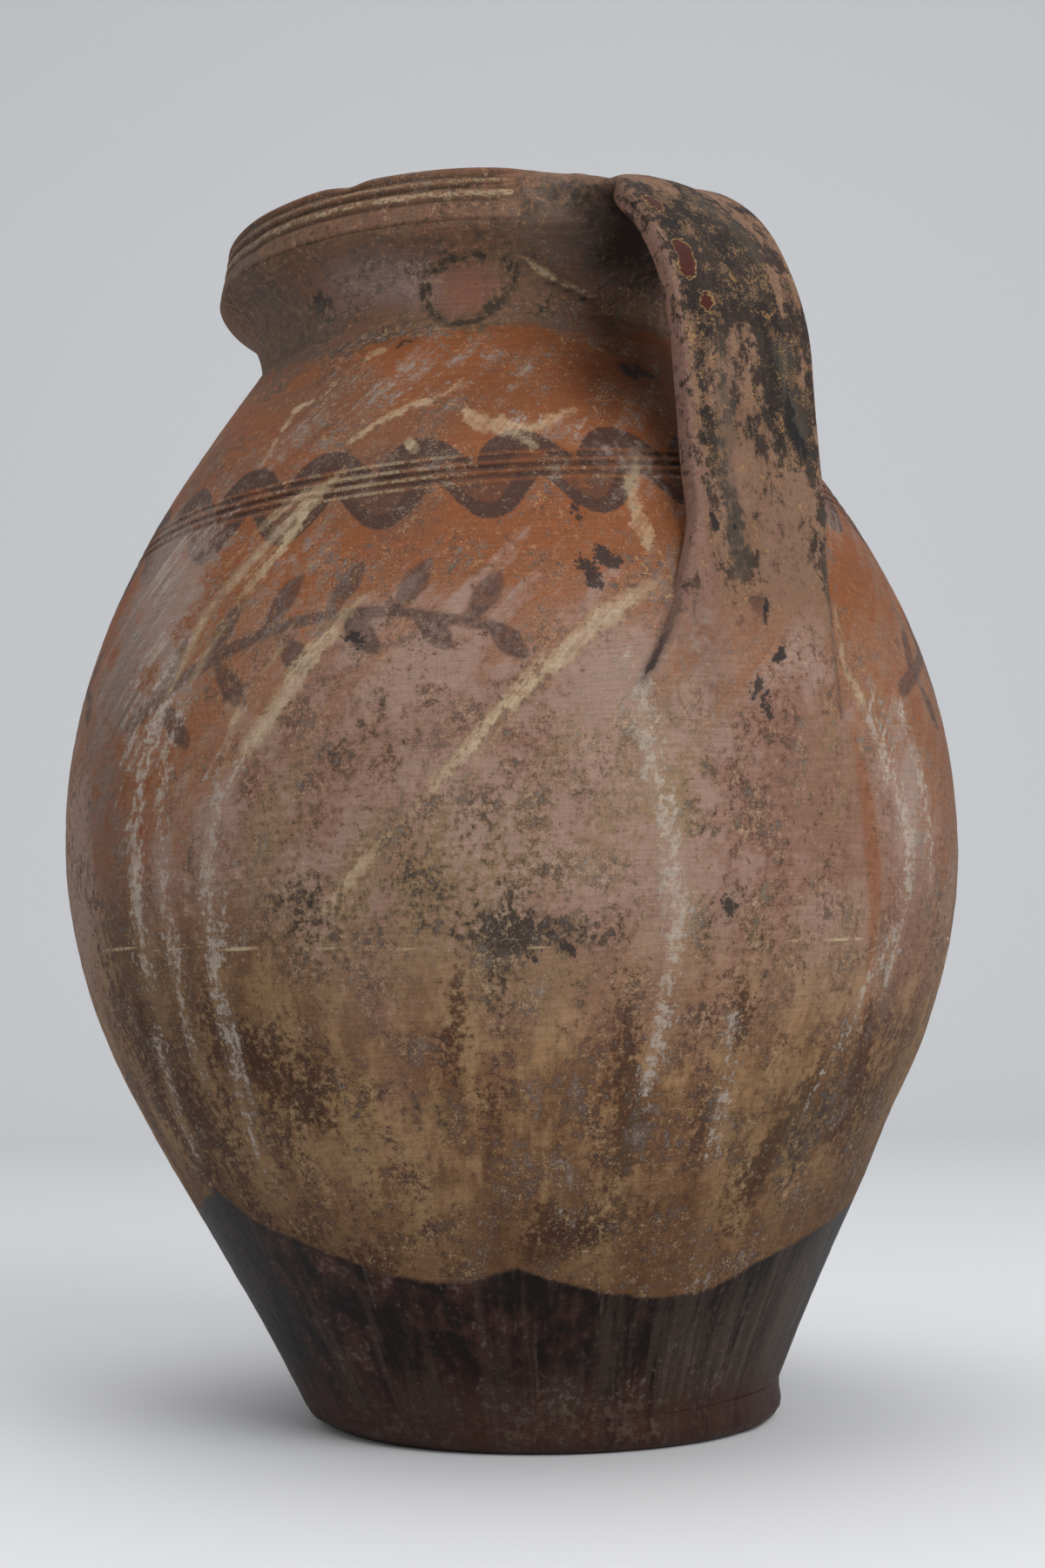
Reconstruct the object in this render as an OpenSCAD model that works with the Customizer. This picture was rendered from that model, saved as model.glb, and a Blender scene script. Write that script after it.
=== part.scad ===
// Hand-thrown earthenware olive jar with one strap handle, in millimetres, +Z up.
// Origin: the middle of the flat foot, on the floor. The handle points along +X.
// The jar is built from the pieces that a potter joins while the clay is soft.
// Profiles are points [radius, height] on the throwing axis, which leans a little.

/* [Foot] */
// Diameter of the flat that rests on the floor
foot_d = 154; // [130:1:158]
// Diameter of the rounded heel above the flat
heel_d = 165; // [160:1:180]
// Height of the heel's rounding
heel_round = 5; // [3:0.5:7]
// Height at which the lower wall stands on the base, outside
heel_h = 10; // [8:0.5:14]
// Thickness of the base inside the jar
base_t = 12; // [9:0.5:14]

/* [Body] */
// Diameter of the wall where it leaves the base
root_d = 167; // [160:1:176]
// Largest diameter of the belly
belly_d = 317; // [300:1:335]
// Height of the largest diameter
belly_z = 204; // [185:1:225]
// Height of the neck's root, where shoulder and neck meet
body_h = 374; // [355:1:400]
// Thickness of the thrown wall
wall_t = 9; // [7:0.5:11]
// Outward run of the lower wall for each millimetre of height, just above the base
lower_flare = 0.45; // [0.35:0.01:0.55]
// Inward run of the shoulder for each millimetre of height, just below the neck
shoulder_fall = 0.75; // [0.6:0.01:0.9]

/* [Seam between the two thrown sections] */
// Height of the seam outside
seam_z = 158; // [140:1:175]
// Rise of the scarf from the outside of the wall to the inside
seam_scarf = 6; // [3:0.5:9]
// Thickness of the clay coil pressed over the seam inside
coil_t = 4; // [2:0.5:6]

/* [Neck and rim] */
// Diameter of the neck's root outside
neck_d = 165; // [155:1:175]
// Height of the flared neck, from its root to the rim band
neck_h = 26; // [22:1:32]
// How far below the neck's root the neck is joined to the shoulder
neck_lap = 9; // [5:0.5:12]
// Diameter of the flare's lip, where the rim band begins
flare_d = 194.5; // [186:0.5:204]
// Height of the rim band
rim_h = 20; // [16:1:26]
// Outside diameter of the rim's top edge
rim_d = 186; // [180:1:192]
// Diameter of the mouth
mouth_d = 164; // [154:1:168]
// Number of grooves turned round the rim band
rim_grooves = 2; // [1:1:3]
// Radius of the tool that turned them
rim_groove_r = 1.3; // [0.6:0.1:1.8]

/* [Combed band on the shoulder] */
// Height of the band's middle
comb_z = 310; // [290:1:325]
// Number of lines that the comb drew
comb_lines = 3; // [1:1:5]
// Spacing of the lines
comb_pitch = 3.4; // [2.4:0.1:4.5]
// Radius of the comb's teeth
comb_r = 0.8; // [0.4:0.1:1.1]

/* [Handle] */
// Width of the strap
strap_w = 54; // [42:1:64]
// Thickness of the strap
strap_t = 11; // [8:0.5:14]
// Room for fingers between the neck's root and the strap
finger_gap = 54; // [48:1:60]
// How far the strap's top lies below the rim's top edge
strap_drop = 1; // [0:0.5:5]
// Height over which the strap bends from level to upright
strap_bend = 77; // [60:1:90]
// Height at which the strap begins to spread
strap_spread_z = 292; // [280:1:300]
// Height at which the strap has come down on to the belly
strap_land_z = 262; // [250:1:272]
// Height at which the strap's smeared end runs out
strap_end_z = 190; // [175:1:215]
// Reach of the strap's foot from its middle, on the side where it is smeared out
strap_spread = 54; // [30:1:60]
// How much the foot narrows on its other side
strap_waist = 8; // [0:1:12]
// Thickness of the strap's smeared end
strap_end_t = 2; // [1:0.5:4]

/* [Clay luted on at the handle's two ends] */
// Height of the upper lute, down the neck from the strap
upper_lute_h = 27; // [20:1:32]
// How far the upper lute reaches past each side of the strap
upper_lute_side = 16; // [6:1:24]
// Radius of the thumb that rounded the upper lute
upper_lute_r = 7; // [5:0.5:8]
// How far the lower lute reaches past the edges of the strap's foot
lower_lute_side = 9; // [5:0.5:14]
// How far the lower lute climbs behind the strap
lower_lute_up = 12; // [6:1:18]
// Thickness of the lower lute where the strap meets the shoulder
lower_lute_t = 4.5; // [3:0.5:5]

/* [Stance] */
// Lean of the throwing axis from upright, in degrees
lean = 2.4; // [0:0.1:3.5]
// Direction of the lean, in degrees round the foot from the handle
lean_to = 235; // [0:5:360]
// How far the wall stands off the foot's middle, towards the lean
stance_shift = 2; // [0:0.5:4]

/* [Hidden] */
$fn = 120;

cutter_sides = 360;
wall_steps = 14;
flare_steps = 10;
bisections = 22;

lower_pull = 86;
belly_pull_low = 72;
belly_pull_high = 82;
root_pull = 27;
flare_hug = 0.77;
flare_lip = 6;
flare_nip = 1;
throat_nip = 1;

root_r = root_d / 2;
belly_r = belly_d / 2;
neck_r = neck_d / 2;
flare_r = flare_d / 2;
rim_r = rim_d / 2;
mouth_r = mouth_d / 2;
rim_z = body_h + neck_h;
top_z = rim_z + rim_h;
fillet_run = 5;
lip_round = 2;
throat_drop = 3;

// Control points of the outside of the wall below and above the belly
LOWER = [[root_r, heel_h],
         [root_r + lower_flare * lower_pull, heel_h + lower_pull],
         [belly_r, belly_z - belly_pull_low],
         [belly_r, belly_z]];
UPPER = [[belly_r, belly_z],
         [belly_r, belly_z + belly_pull_high],
         [neck_r + shoulder_fall * root_pull, body_h - root_pull],
         [neck_r, body_h]];
// Control points of the flared neck, outside and inside
FLARE = [[neck_r, body_h],
         [neck_r, body_h + flare_hug * neck_h],
         [flare_r - flare_nip, rim_z - flare_lip],
         [flare_r, rim_z]];
THROAT = [wall_inner(2),
          [neck_r - wall_t, body_h + neck_h / 4],
          [neck_r - wall_t, body_h + neck_h / 2],
          [mouth_r - throat_nip, rim_z - throat_drop]];

// Point and direction on a cubic curve with control points p
function curve(p, t) =
    let (s = 1 - t)
    s * s * s * p[0] + 3 * s * s * t * p[1] + 3 * s * t * t * p[2] + t * t * t * p[3];
function curve_run(p, t) =
    let (s = 1 - t)
    3 * s * s * (p[1] - p[0]) + 6 * s * t * (p[2] - p[1]) + 3 * t * t * (p[3] - p[2]);

// Outside of the wall at place u, from 0 at the base through 1 at the belly to 2 at the neck
function wall_outer(u) = u < 1 ? curve(LOWER, u) : curve(UPPER, u - 1);
function wall_run(u) = u < 1 ? curve_run(LOWER, u) : curve_run(UPPER, u - 1);
// Inside of the wall, one wall thickness behind the outside
function wall_inner(u) =
    let (d = wall_run(u))
    wall_outer(u) + wall_t / norm(d) * [-d[1], d[0]];
// Place on the wall whose outside lies at height z
function place_at(z, low = 0, high = 2, left = bisections) =
    let (mid = (low + high) / 2)
    left == 0 ? mid
    : wall_outer(mid)[1] < z ? place_at(z, mid, high, left - 1)
    : place_at(z, low, mid, left - 1);
// Place on the wall whose inside lies at height z
function inside_place_at(z, low = 0, high = 2, left = bisections) =
    let (mid = (low + high) / 2)
    left == 0 ? mid
    : wall_inner(mid)[1] < z ? inside_place_at(z, mid, high, left - 1)
    : inside_place_at(z, low, mid, left - 1);
function wall_radius(z) = wall_outer(place_at(z))[0];

seam_out = place_at(seam_z);
seam_in = inside_place_at(seam_z + seam_scarf);
neck_out = place_at(body_h - neck_lap);
neck_in = 2;

// Points along the outside or the inside between two places on the wall
function outer_points(a, b) = [for (i = [0 : wall_steps]) wall_outer(a + (b - a) * i / wall_steps)];
function inner_points(a, b) = [for (i = [0 : wall_steps]) wall_inner(a + (b - a) * i / wall_steps)];
function reversed(list) = [for (i = [len(list) - 1 : -1 : 0]) list[i]];
function flare_points() = [for (i = [0 : flare_steps]) curve(FLARE, i / flare_steps)];
function throat_points() = [for (i = [0 : flare_steps]) curve(THROAT, i / flare_steps)];

// Faces of a skin over closed rings of n points each, m rings, with both ends closed
function skin_faces(m, n) = concat(
    [for (i = [0 : m - 2], j = [0 : n - 1])
        each [[i * n + (j + 1) % n, i * n + j, (i + 1) * n + j],
              [(i + 1) * n + (j + 1) % n, i * n + (j + 1) % n, (i + 1) * n + j]]],
    [[for (j = [0 : n - 1]) j]],
    [[for (j = [n - 1 : -1 : 0]) (m - 1) * n + j]]);
module skin(rings) {
    polyhedron([for (ring = rings) each ring], skin_faces(len(rings), len(rings[0])), convexity = 6);
}

module turned(points, sides = $fn) {
    rotate_extrude($fn = sides) polygon(points);
}

// Stands what it is given on the leaning axis
module leaning() {
    translate([stance_shift * cos(lean_to), stance_shift * sin(lean_to), 0])
        rotate([0, 0, lean_to])
            rotate([0, lean, 0])
                rotate([0, 0, -lean_to])
                    children();
}

// Full round body inside the jar's outside, for cutting what is luted on to it
module jar_body() {
    turned(concat([[0, heel_h]],
                  outer_points(0, seam_out),
                  outer_points(seam_out, neck_out),
                  flare_points(),
                  [[rim_r, top_z - lip_round], [rim_r, top_z + strap_t], [0, top_z + strap_t]]),
           sides = cutter_sides);
}

module base() {
    below = 2 * heel_h;
    above = heel_h + lower_flare * heel_h;
    color([0.30, 0.17, 0.13])
        intersection() {
            turned([[0, 0], [foot_d / 2, 0], [heel_d / 2, heel_round],
                    [root_r + 2 * stance_shift, above], [0, above]]);
            leaning()
                turned([[0, -below],
                        [root_r - lower_flare * (heel_h + below), -below],
                        [root_r, heel_h],
                        wall_inner(0),
                        [wall_inner(0)[0] - fillet_run, base_t],
                        [0, base_t]]);
        }
}

module lower_wall() {
    color([0.55, 0.38, 0.26])
        leaning()
            turned(concat(outer_points(0, seam_out), reversed(inner_points(0, seam_in))));
}

// Half-round coil on the inside of the wall, one step of the wall to each side of the seam
module inner_seam_coil() {
    low = seam_in - seam_in / wall_steps;
    high = seam_in + (neck_in - seam_in) / wall_steps;
    bulge_steps = 8;
    color([0.60, 0.40, 0.30])
        leaning()
            turned(concat([wall_inner(low), wall_inner(seam_in), wall_inner(high)],
                          [for (i = [1 : bulge_steps - 1])
                              let (s = i / bulge_steps)
                              wall_inner(high + (low - high) * s) - [coil_t * sin(180 * s), 0]]));
}

module shoulder_wall() {
    color([0.62, 0.34, 0.20])
        leaning()
            difference() {
                turned(concat(outer_points(seam_out, neck_out),
                              reversed(inner_points(seam_in, neck_in))));
                for (i = [0 : comb_lines - 1]) {
                    z = comb_z + (i - (comb_lines - 1) / 2) * comb_pitch;
                    rotate_extrude()
                        translate([wall_radius(z), z])
                            circle(comb_r, $fn = 24);
                }
            }
}

module neck() {
    color([0.52, 0.37, 0.31])
        leaning()
            turned(concat([wall_outer(neck_out)],
                          flare_points(),
                          reversed(throat_points())));
}

module rim_band() {
    color([0.50, 0.36, 0.29])
        leaning()
            difference() {
                turned([[mouth_r - throat_nip, rim_z - throat_drop],
                        [flare_r, rim_z],
                        [rim_r, top_z - lip_round],
                        [rim_r - lip_round, top_z],
                        [mouth_r + lip_round, top_z],
                        [mouth_r, top_z - lip_round]]);
                for (i = [1 : rim_grooves]) {
                    share = i / (rim_grooves + 1);
                    rotate_extrude()
                        translate([flare_r + (rim_r - flare_r) * share, rim_z + rim_h * share])
                            circle(rim_groove_r, $fn = 24);
                }
            }
}

strap_reach = neck_r + finger_gap + strap_t / 2;
strap_bed = 8;
strap_root = rim_r - strap_bed;
strap_level = top_z - strap_drop - strap_t / 2;
bend_z = strap_level - strap_bend + strap_t / 2;
strap_bend_steps = 16;
strap_drop_steps = 9;
strap_foot_steps = 9;
strap_ring = 24;
strap_squareness = 5;
foot_lift = 1;
land_pull = 20;
spread_tip = 0.54;
spread_bow = 1.4;
strap_end_half = 10;
narrowing = 6;
rounding_rate = 3;

// Point that stands off the outside of the wall at height z
function off_wall(z, off) =
    let (u = place_at(z), d = wall_run(u))
    wall_outer(u) + off / norm(d) * [d[1], -d[0]];

LAND = off_wall(strap_land_z, foot_lift);
LAND_RUN = wall_run(place_at(strap_land_z));
// Lower run of the strap's middle line, from the bend down to where it lands on the belly
STRAP_RUN = [[strap_reach, bend_z],
             [strap_reach, (bend_z + strap_land_z) / 2],
             LAND + LAND_RUN * land_pull / LAND_RUN[1],
             LAND];
// The middle line: a quarter of an ellipse from the rim, the lower run, then down the belly
STRAP_LINE = concat(
    [for (i = [0 : strap_bend_steps - 1])
        let (a = 90 - 90 * i / strap_bend_steps)
        [strap_root + (strap_reach - strap_root) * cos(a), bend_z + (strap_level - bend_z) * sin(a)]],
    [for (i = [0 : strap_drop_steps - 1]) curve(STRAP_RUN, i / strap_drop_steps)],
    [for (i = [0 : strap_foot_steps])
        off_wall(strap_land_z + (strap_end_z - strap_land_z) * i / strap_foot_steps, foot_lift)]);
function line_run(i) = STRAP_LINE[min(i + 1, len(STRAP_LINE) - 1)] - STRAP_LINE[max(i - 1, 0)];

// Share of the way at height z from where the strap begins to spread to its smeared end
function smear(z) = min(1, max(0, (strap_spread_z - z) / (strap_spread_z - strap_end_z)));
// Reach of the strap from its middle at height z, on its spread side and on its narrow side
function spread_side(z) =
    let (s = smear(z))
    s < spread_tip ? strap_w / 2 + (strap_spread - strap_w / 2) * pow(s / spread_tip, spread_bow)
    : strap_spread + (strap_end_half - strap_spread) * pow((s - spread_tip) / (1 - spread_tip), spread_bow);
function narrow_side(z) =
    let (s = smear(z), side = strap_w / 2 - strap_waist * sin(90 * s))
    side + (strap_end_half - side) * pow(s, narrowing);
// How far a point at offset y lies back, where the strap's foot follows the round of the belly
function round_back(r, y, z) = min(1, rounding_rate * smear(z)) * (r - sqrt(r * r - y * y));
// One side of a rounded oblong, from -1 to 1
function oblong(c) = sign(c) * pow(abs(c), 2 / strap_squareness);
function strap_section(i) =
    let (p = STRAP_LINE[i],
         d = line_run(i) / norm(line_run(i)),
         near = narrow_side(p[1]),
         far = spread_side(p[1]),
         thick = strap_t + (strap_end_t - strap_t) * smear(p[1]))
    [for (j = [0 : strap_ring - 1])
        let (a = 360 * j / strap_ring,
             y = (near - far) / 2 + (near + far) / 2 * oblong(cos(a)),
             h = thick / 2 * oblong(sin(a)))
        [p[0] - d[1] * h - round_back(p[0], y, p[1]), y, p[1] + d[0] * h]];

module strap_solid() {
    skin([for (i = [0 : len(STRAP_LINE) - 1]) strap_section(i)]);
}

module handle_strap() {
    color([0.45, 0.32, 0.26])
        leaning()
            difference() {
                strap_solid();
                jar_body();
            }
}

wad_side_in = 2;
wad_top_out = 3;
wad_low_out = 1;
// Wad of clay pressed under the strap's root, over the rim band and down the flared neck
module upper_handle_lute() {
    side = strap_w / 2 + upper_lute_side - upper_lute_r;
    side_x = sqrt(flare_r * flare_r - side * side);
    high = top_z - strap_drop - strap_t - upper_lute_r / 2;
    low = high - upper_lute_h + upper_lute_r;
    color([0.42, 0.32, 0.26])
        leaning()
            difference() {
                hull()
                    for (s = [-1, 1]) {
                        translate([side_x - wad_side_in, s * side, high])
                            sphere(upper_lute_r, $fn = 24);
                        translate([flare_r + wad_top_out, s * strap_w / 4, high])
                            sphere(upper_lute_r, $fn = 24);
                        translate([neck_r + wad_low_out, s * strap_w / 3, low])
                            sphere(upper_lute_r, $fn = 24);
                    }
                strap_solid();
                jar_body();
            }
}

lute_levels = 20;
lute_points = 17;
lute_bed = 6;
lute_edge = 2;
lute_thinning = 0.7;
lute_roundness = 1.1;
lute_flatness = 6;
lute_low = strap_end_z - lower_lute_side;
lute_high = strap_spread_z + lower_lute_up;
// Share of the full width that the lower lute keeps at height z, where it rounds off below
function lute_close(z) =
    let (q = max(0, (strap_end_z - z) / lower_lute_side))
    sqrt(lute_roundness - q * q);
// Thickness of the lower lute at height z and share q of its half width
function lute_thick(z, q) =
    let (climb = min(1, (lute_high - z) / (lute_high - strap_spread_z)),
         t = lower_lute_t * (1 - lute_thinning * smear(z)) * climb)
    (t + lute_edge) * (1 - pow(q, lute_flatness)) - lute_edge;

// Clay pressed behind the strap and round the edges of its foot, thinning to nothing
module lower_handle_lute() {
    rings = [for (i = [0 : lute_levels])
        let (z = lute_low + (lute_high - lute_low) * i / lute_levels,
             r = wall_radius(z),
             far = -(spread_side(z) + lower_lute_side) * lute_close(z),
             near = (narrow_side(z) + lower_lute_side) * lute_close(z),
             bed = lute_bed + lute_edge)
        concat([for (j = [0 : lute_points - 1])
                   let (q = 2 * j / (lute_points - 1) - 1, y = (near + far) / 2 + q * (near - far) / 2)
                   [sqrt(r * r - y * y) + lute_thick(z, q), y, z]],
               [[sqrt(r * r - near * near) - bed, near, z], [sqrt(r * r - far * far) - bed, far, z]])];
    color([0.50, 0.34, 0.28])
        leaning()
            difference() {
                skin(rings);
                strap_solid();
                jar_body();
            }
}

base();
lower_wall();
inner_seam_coil();
shoulder_wall();
neck();
rim_band();
handle_strap();
upper_handle_lute();
lower_handle_lute();
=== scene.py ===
"""A hand-thrown earthenware olive jar with one strap handle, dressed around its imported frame."""

import logging
import math
from dataclasses import dataclass
from enum import Enum
from typing import Callable, Sequence

import bmesh
import bpy
import numpy as np
from mathutils import Matrix, Vector, noise


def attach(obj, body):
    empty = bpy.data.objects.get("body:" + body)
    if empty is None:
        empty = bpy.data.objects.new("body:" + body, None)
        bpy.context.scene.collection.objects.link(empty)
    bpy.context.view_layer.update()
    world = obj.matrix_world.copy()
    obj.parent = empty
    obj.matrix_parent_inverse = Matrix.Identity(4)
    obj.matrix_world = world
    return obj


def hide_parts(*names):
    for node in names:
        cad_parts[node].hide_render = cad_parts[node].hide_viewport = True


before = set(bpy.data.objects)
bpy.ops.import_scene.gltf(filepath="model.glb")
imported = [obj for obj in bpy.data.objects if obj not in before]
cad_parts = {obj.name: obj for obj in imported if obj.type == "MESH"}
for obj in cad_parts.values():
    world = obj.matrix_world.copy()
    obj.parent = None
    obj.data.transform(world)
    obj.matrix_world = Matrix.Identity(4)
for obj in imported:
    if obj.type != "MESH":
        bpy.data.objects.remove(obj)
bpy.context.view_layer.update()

MM = 0.001
CORNER = math.radians(48)
FULL_TURN = 2 * math.pi
Point = tuple[float, float]
Colour = tuple[float, float, float]
log = logging.getLogger("olive_jar")


class Slot(Enum):
    """Material slots of the record."""

    FOOT = "dipped_foot"
    BODY = "bare_body"
    INSIDE = "inside_clay"
    SHOULDER = "slipped_shoulder"
    RIM = "rim_clay"
    HANDLE = "handle_clay"


def srgb(red: int, green: int, blue: int) -> Colour:
    """Scene-linear colour of a screen colour given as 0 to 255."""
    def linear(level: int) -> float:
        """One channel on the linear scale."""
        share = level / 255
        return share / 12.92 if share <= 0.04045 else ((share + 0.055) / 1.055) ** 2.4
    return linear(red), linear(green), linear(blue)


def smooth(value: float, low: float, high: float) -> float:
    """Smooth step of a value from 0 at low to 1 at high."""
    share = min(1.0, max(0.0, (value - low) / (high - low)))
    return share * share * (3 - 2 * share)


def cubic(points: Sequence[Point], t: float) -> Point:
    """Point at share t of a cubic curve with four control points."""
    s = 1 - t
    weights = (s * s * s, 3 * s * s * t, 3 * s * t * t, t * t * t)
    return (sum(w * p[0] for w, p in zip(weights, points)),
            sum(w * p[1] for w, p in zip(weights, points)))


def cubic_run(points: Sequence[Point], t: float) -> Point:
    """Direction of a cubic curve at share t, as a unit vector."""
    s = 1 - t
    weights = (3 * s * s, 6 * s * t, 3 * t * t)
    steps = [(b[0] - a[0], b[1] - a[1]) for a, b in zip(points, points[1:])]
    x = sum(w * p[0] for w, p in zip(weights, steps))
    y = sum(w * p[1] for w, p in zip(weights, steps))
    length = math.hypot(x, y)
    return x / length, y / length


@dataclass(frozen=True)
class Stance:
    """How the throwing axis stands on the floor: its lean, and its shift off the foot's middle."""

    lean: float = math.radians(2.4)
    lean_to: float = math.radians(235)
    shift: float = 2.0

    def matrix(self) -> Matrix:
        """From millimetres on the throwing axis to metres in the row's frame."""
        there = Matrix.Rotation(self.lean_to, 4, "Z")
        tip = Matrix.Rotation(self.lean, 4, "Y")
        move = Matrix.Translation((self.shift * math.cos(self.lean_to), self.shift * math.sin(self.lean_to), 0))
        return Matrix.Scale(MM, 4) @ move @ there @ tip @ there.inverted()


@dataclass(frozen=True)
class JarShape:
    """Driving sizes of the thrown jar in millimetres, heights measured on the throwing axis."""

    foot_r: float = 77.0
    heel_r: float = 82.5
    heel_round: float = 5.0
    heel_h: float = 10.0
    base_t: float = 12.0
    root_r: float = 83.5
    belly_r: float = 158.5
    belly_z: float = 204.0
    seam_z: float = 158.0
    body_h: float = 374.0
    neck_r: float = 82.5
    neck_h: float = 26.0
    neck_lap: float = 9.0
    flare_r: float = 97.25
    rim_h: float = 20.0
    rim_r: float = 93.0
    mouth_r: float = 82.0
    wall_t: float = 9.0
    coil_t: float = 4.0
    comb_z: float = 310.0
    comb_pitch: float = 3.4
    right_of_view: float = math.radians(55)
    rim_tilt: float = math.tan(math.radians(-1.5))
    comb_tilt: float = math.tan(math.radians(1.3))

    @property
    def rim_z(self) -> float:
        """Height of the rim band's lower edge."""
        return self.body_h + self.neck_h

    @property
    def top_z(self) -> float:
        """Height of the rim's top edge."""
        return self.rim_z + self.rim_h

    @property
    def lower(self) -> list[Point]:
        """Control points of the outside from the base to the belly."""
        return [(self.root_r, self.heel_h), (self.root_r + 38.7, self.heel_h + 86.0),
                (self.belly_r, self.belly_z - 72.0), (self.belly_r, self.belly_z)]

    @property
    def upper(self) -> list[Point]:
        """Control points of the outside from the belly to the neck's root."""
        return [(self.belly_r, self.belly_z), (self.belly_r, self.belly_z + 82.0),
                (self.neck_r + 20.25, self.body_h - 27.0), (self.neck_r, self.body_h)]

    @property
    def flare(self) -> list[Point]:
        """Control points of the flared neck outside."""
        return [(self.neck_r, self.body_h), (self.neck_r, self.body_h + 20.0),
                (self.flare_r - 1, self.rim_z - 6.0), (self.flare_r, self.rim_z)]

    def outside(self, place: float) -> Point:
        """Outside of the wall at a place from 0 at the base through 1 at the belly to 2 at the neck."""
        return cubic(self.lower, place) if place < 1 else cubic(self.upper, place - 1)

    def inside(self, place: float) -> Point:
        """Inside of the wall behind the same place."""
        r, z = self.outside(place)
        run = cubic_run(self.lower, place) if place < 1 else cubic_run(self.upper, place - 1)
        return r - self.wall_t * run[1], z + self.wall_t * run[0]

    def place_at(self, height: float, inner: bool = False) -> float:
        """Place on the wall whose outside, or inside, lies at a height."""
        low, high = 0.0, 2.0
        for _ in range(26):
            mid = (low + high) / 2
            z = (self.inside(mid) if inner else self.outside(mid))[1]
            low, high = (mid, high) if z < height else (low, mid)
        return (low + high) / 2

    def radius(self, height: float) -> float:
        """Outside radius of wall, neck or rim band at a height."""
        if height <= self.heel_h:
            return self.root_r
        if height < self.body_h:
            return self.outside(self.place_at(height))[0]
        if height < self.rim_z:
            low, high = 0.0, 1.0
            for _ in range(20):
                mid = (low + high) / 2
                low, high = (mid, high) if cubic(self.flare, mid)[1] < height else (low, mid)
            return cubic(self.flare, low)[0]
        share = min(1.0, (height - self.rim_z) / self.rim_h)
        return self.flare_r + (self.rim_r - self.flare_r) * share


class RadiusTable:
    """Outside radius by height, read from an even table, because it is asked for very often."""

    def __init__(self, shape: JarShape, step: float = 0.5) -> None:
        """Fills the table for the whole jar."""
        self.heights = np.arange(0.0, shape.top_z + step, step)
        self.radii = np.array([shape.radius(float(z)) for z in self.heights])

    def at(self, height: float) -> float:
        """Outside radius at one height."""
        return float(np.interp(height, self.heights, self.radii))

    def over(self, heights: np.ndarray) -> np.ndarray:
        """Outside radii at many heights."""
        return np.interp(heights, self.heights, self.radii)


SHAPE = JarShape()
TABLE = RadiusTable(SHAPE)
STANCE = Stance().matrix()


@dataclass(frozen=True)
class Dent:
    """A chip or thumb mark: where it lies, how wide it is and how deep, in degrees and millimetres."""

    angle: float
    height: float
    width: float
    tall: float
    depth: float

    def at(self, angle: float, height: float, radius: float) -> float:
        """Depth of the mark at a point of the surface."""
        across = (angle - math.radians(self.angle) + math.pi) % FULL_TURN - math.pi
        x = across * radius / self.width
        y = (height - self.height) / self.tall
        return self.depth * math.exp(-x * x - y * y)


RIM_GROOVES = ((16.4, 0.9), (12.6, 1.2), (7.8, 0.9))
RIM_DENTS = (Dent(-63, 419, 6, 3, 1.6), Dent(-20, 420, 9, 3, 1.0), Dent(-92, 409, 7, 4, 1.2),
             Dent(70, 420, 12, 3, 1.3), Dent(150, 420, 8, 4, 1.5), Dent(215, 411, 9, 4, 1.1))
BODY_DENTS = (Dent(-48, 158, 60, 5, 0.5), Dent(-10, 128, 40, 8, 0.7), Dent(40, 98, 30, 14, 1.0),
              Dent(120, 240, 30, 22, 0.9), Dent(190, 180, 45, 16, 0.9), Dent(-85, 268, 26, 18, 0.8))


def wobble(angle: float, height: float) -> float:
    """Hand-made unevenness of the outside in millimetres."""
    x, y, z = math.cos(angle), math.sin(angle), height
    broad = noise.noise(Vector((x * 1.3, y * 1.3, z / 90)))
    palm = noise.noise(Vector((x * 4 + 7, y * 4, z / 22)))
    rib = noise.noise(Vector((x * 0.8, y * 0.8 + 5, z / 3.4)))
    return 0.55 * broad + 0.22 * palm + 0.13 * rib


def comb_relief(angle: float, height: float, radius: float) -> float:
    """Depth of the combed lines in millimetres; the band runs a little out of level."""
    level = height - SHAPE.comb_tilt * radius * math.cos(angle - SHAPE.right_of_view)
    level -= 0.5 * noise.noise(Vector((math.cos(angle) * 3, math.sin(angle) * 3, 2.0)))
    depth = 0.0
    for line, strength in ((-1, 0.8), (0, 1.0), (1, 0.7)):
        away = (level - SHAPE.comb_z - line * SHAPE.comb_pitch) / 0.75
        depth += 0.95 * strength * math.exp(-away * away)
    return depth


def throw(angle: float, height: float, radius: float, outer: bool) -> tuple[float, float]:
    """Moves a point of the ideal jar to where the potter's hands left it.

    Args:
        angle: angle round the throwing axis.
        height: height on the axis in millimetres.
        radius: distance from the axis in millimetres.
        outer: whether the point lies on the outside.

    Returns:
        The new radius and height.
    """
    reach = radius * math.cos(angle - SHAPE.right_of_view)
    lift = SHAPE.rim_tilt * reach * smooth(height, 335, 398)
    off = wobble(angle, height) * (1.0 if outer else 0.6) * smooth(height, 0, 12)
    if height > 385:
        lift += 0.7 * noise.noise(Vector((math.cos(angle) * 2.2, math.sin(angle) * 2.2, 9.0))) * smooth(height, 396, 412)
        chip = sum(dent.at(angle, height, radius) for dent in RIM_DENTS)
        lift -= 0.6 * chip
        off -= 0.7 * chip * (1 if outer else -1)
    elif outer:
        off -= sum(dent.at(angle, height, radius) for dent in BODY_DENTS)
        if 296 < height < 324:
            off -= comb_relief(angle, height, radius)
    return radius + off, height + lift


def even(start: float, stop: float, step: float) -> list[float]:
    """Evenly spaced values from start to stop, both included, at most a step apart."""
    count = max(1, math.ceil(abs(stop - start) / step))
    return [start + (stop - start) * i / count for i in range(count + 1)]


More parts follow.
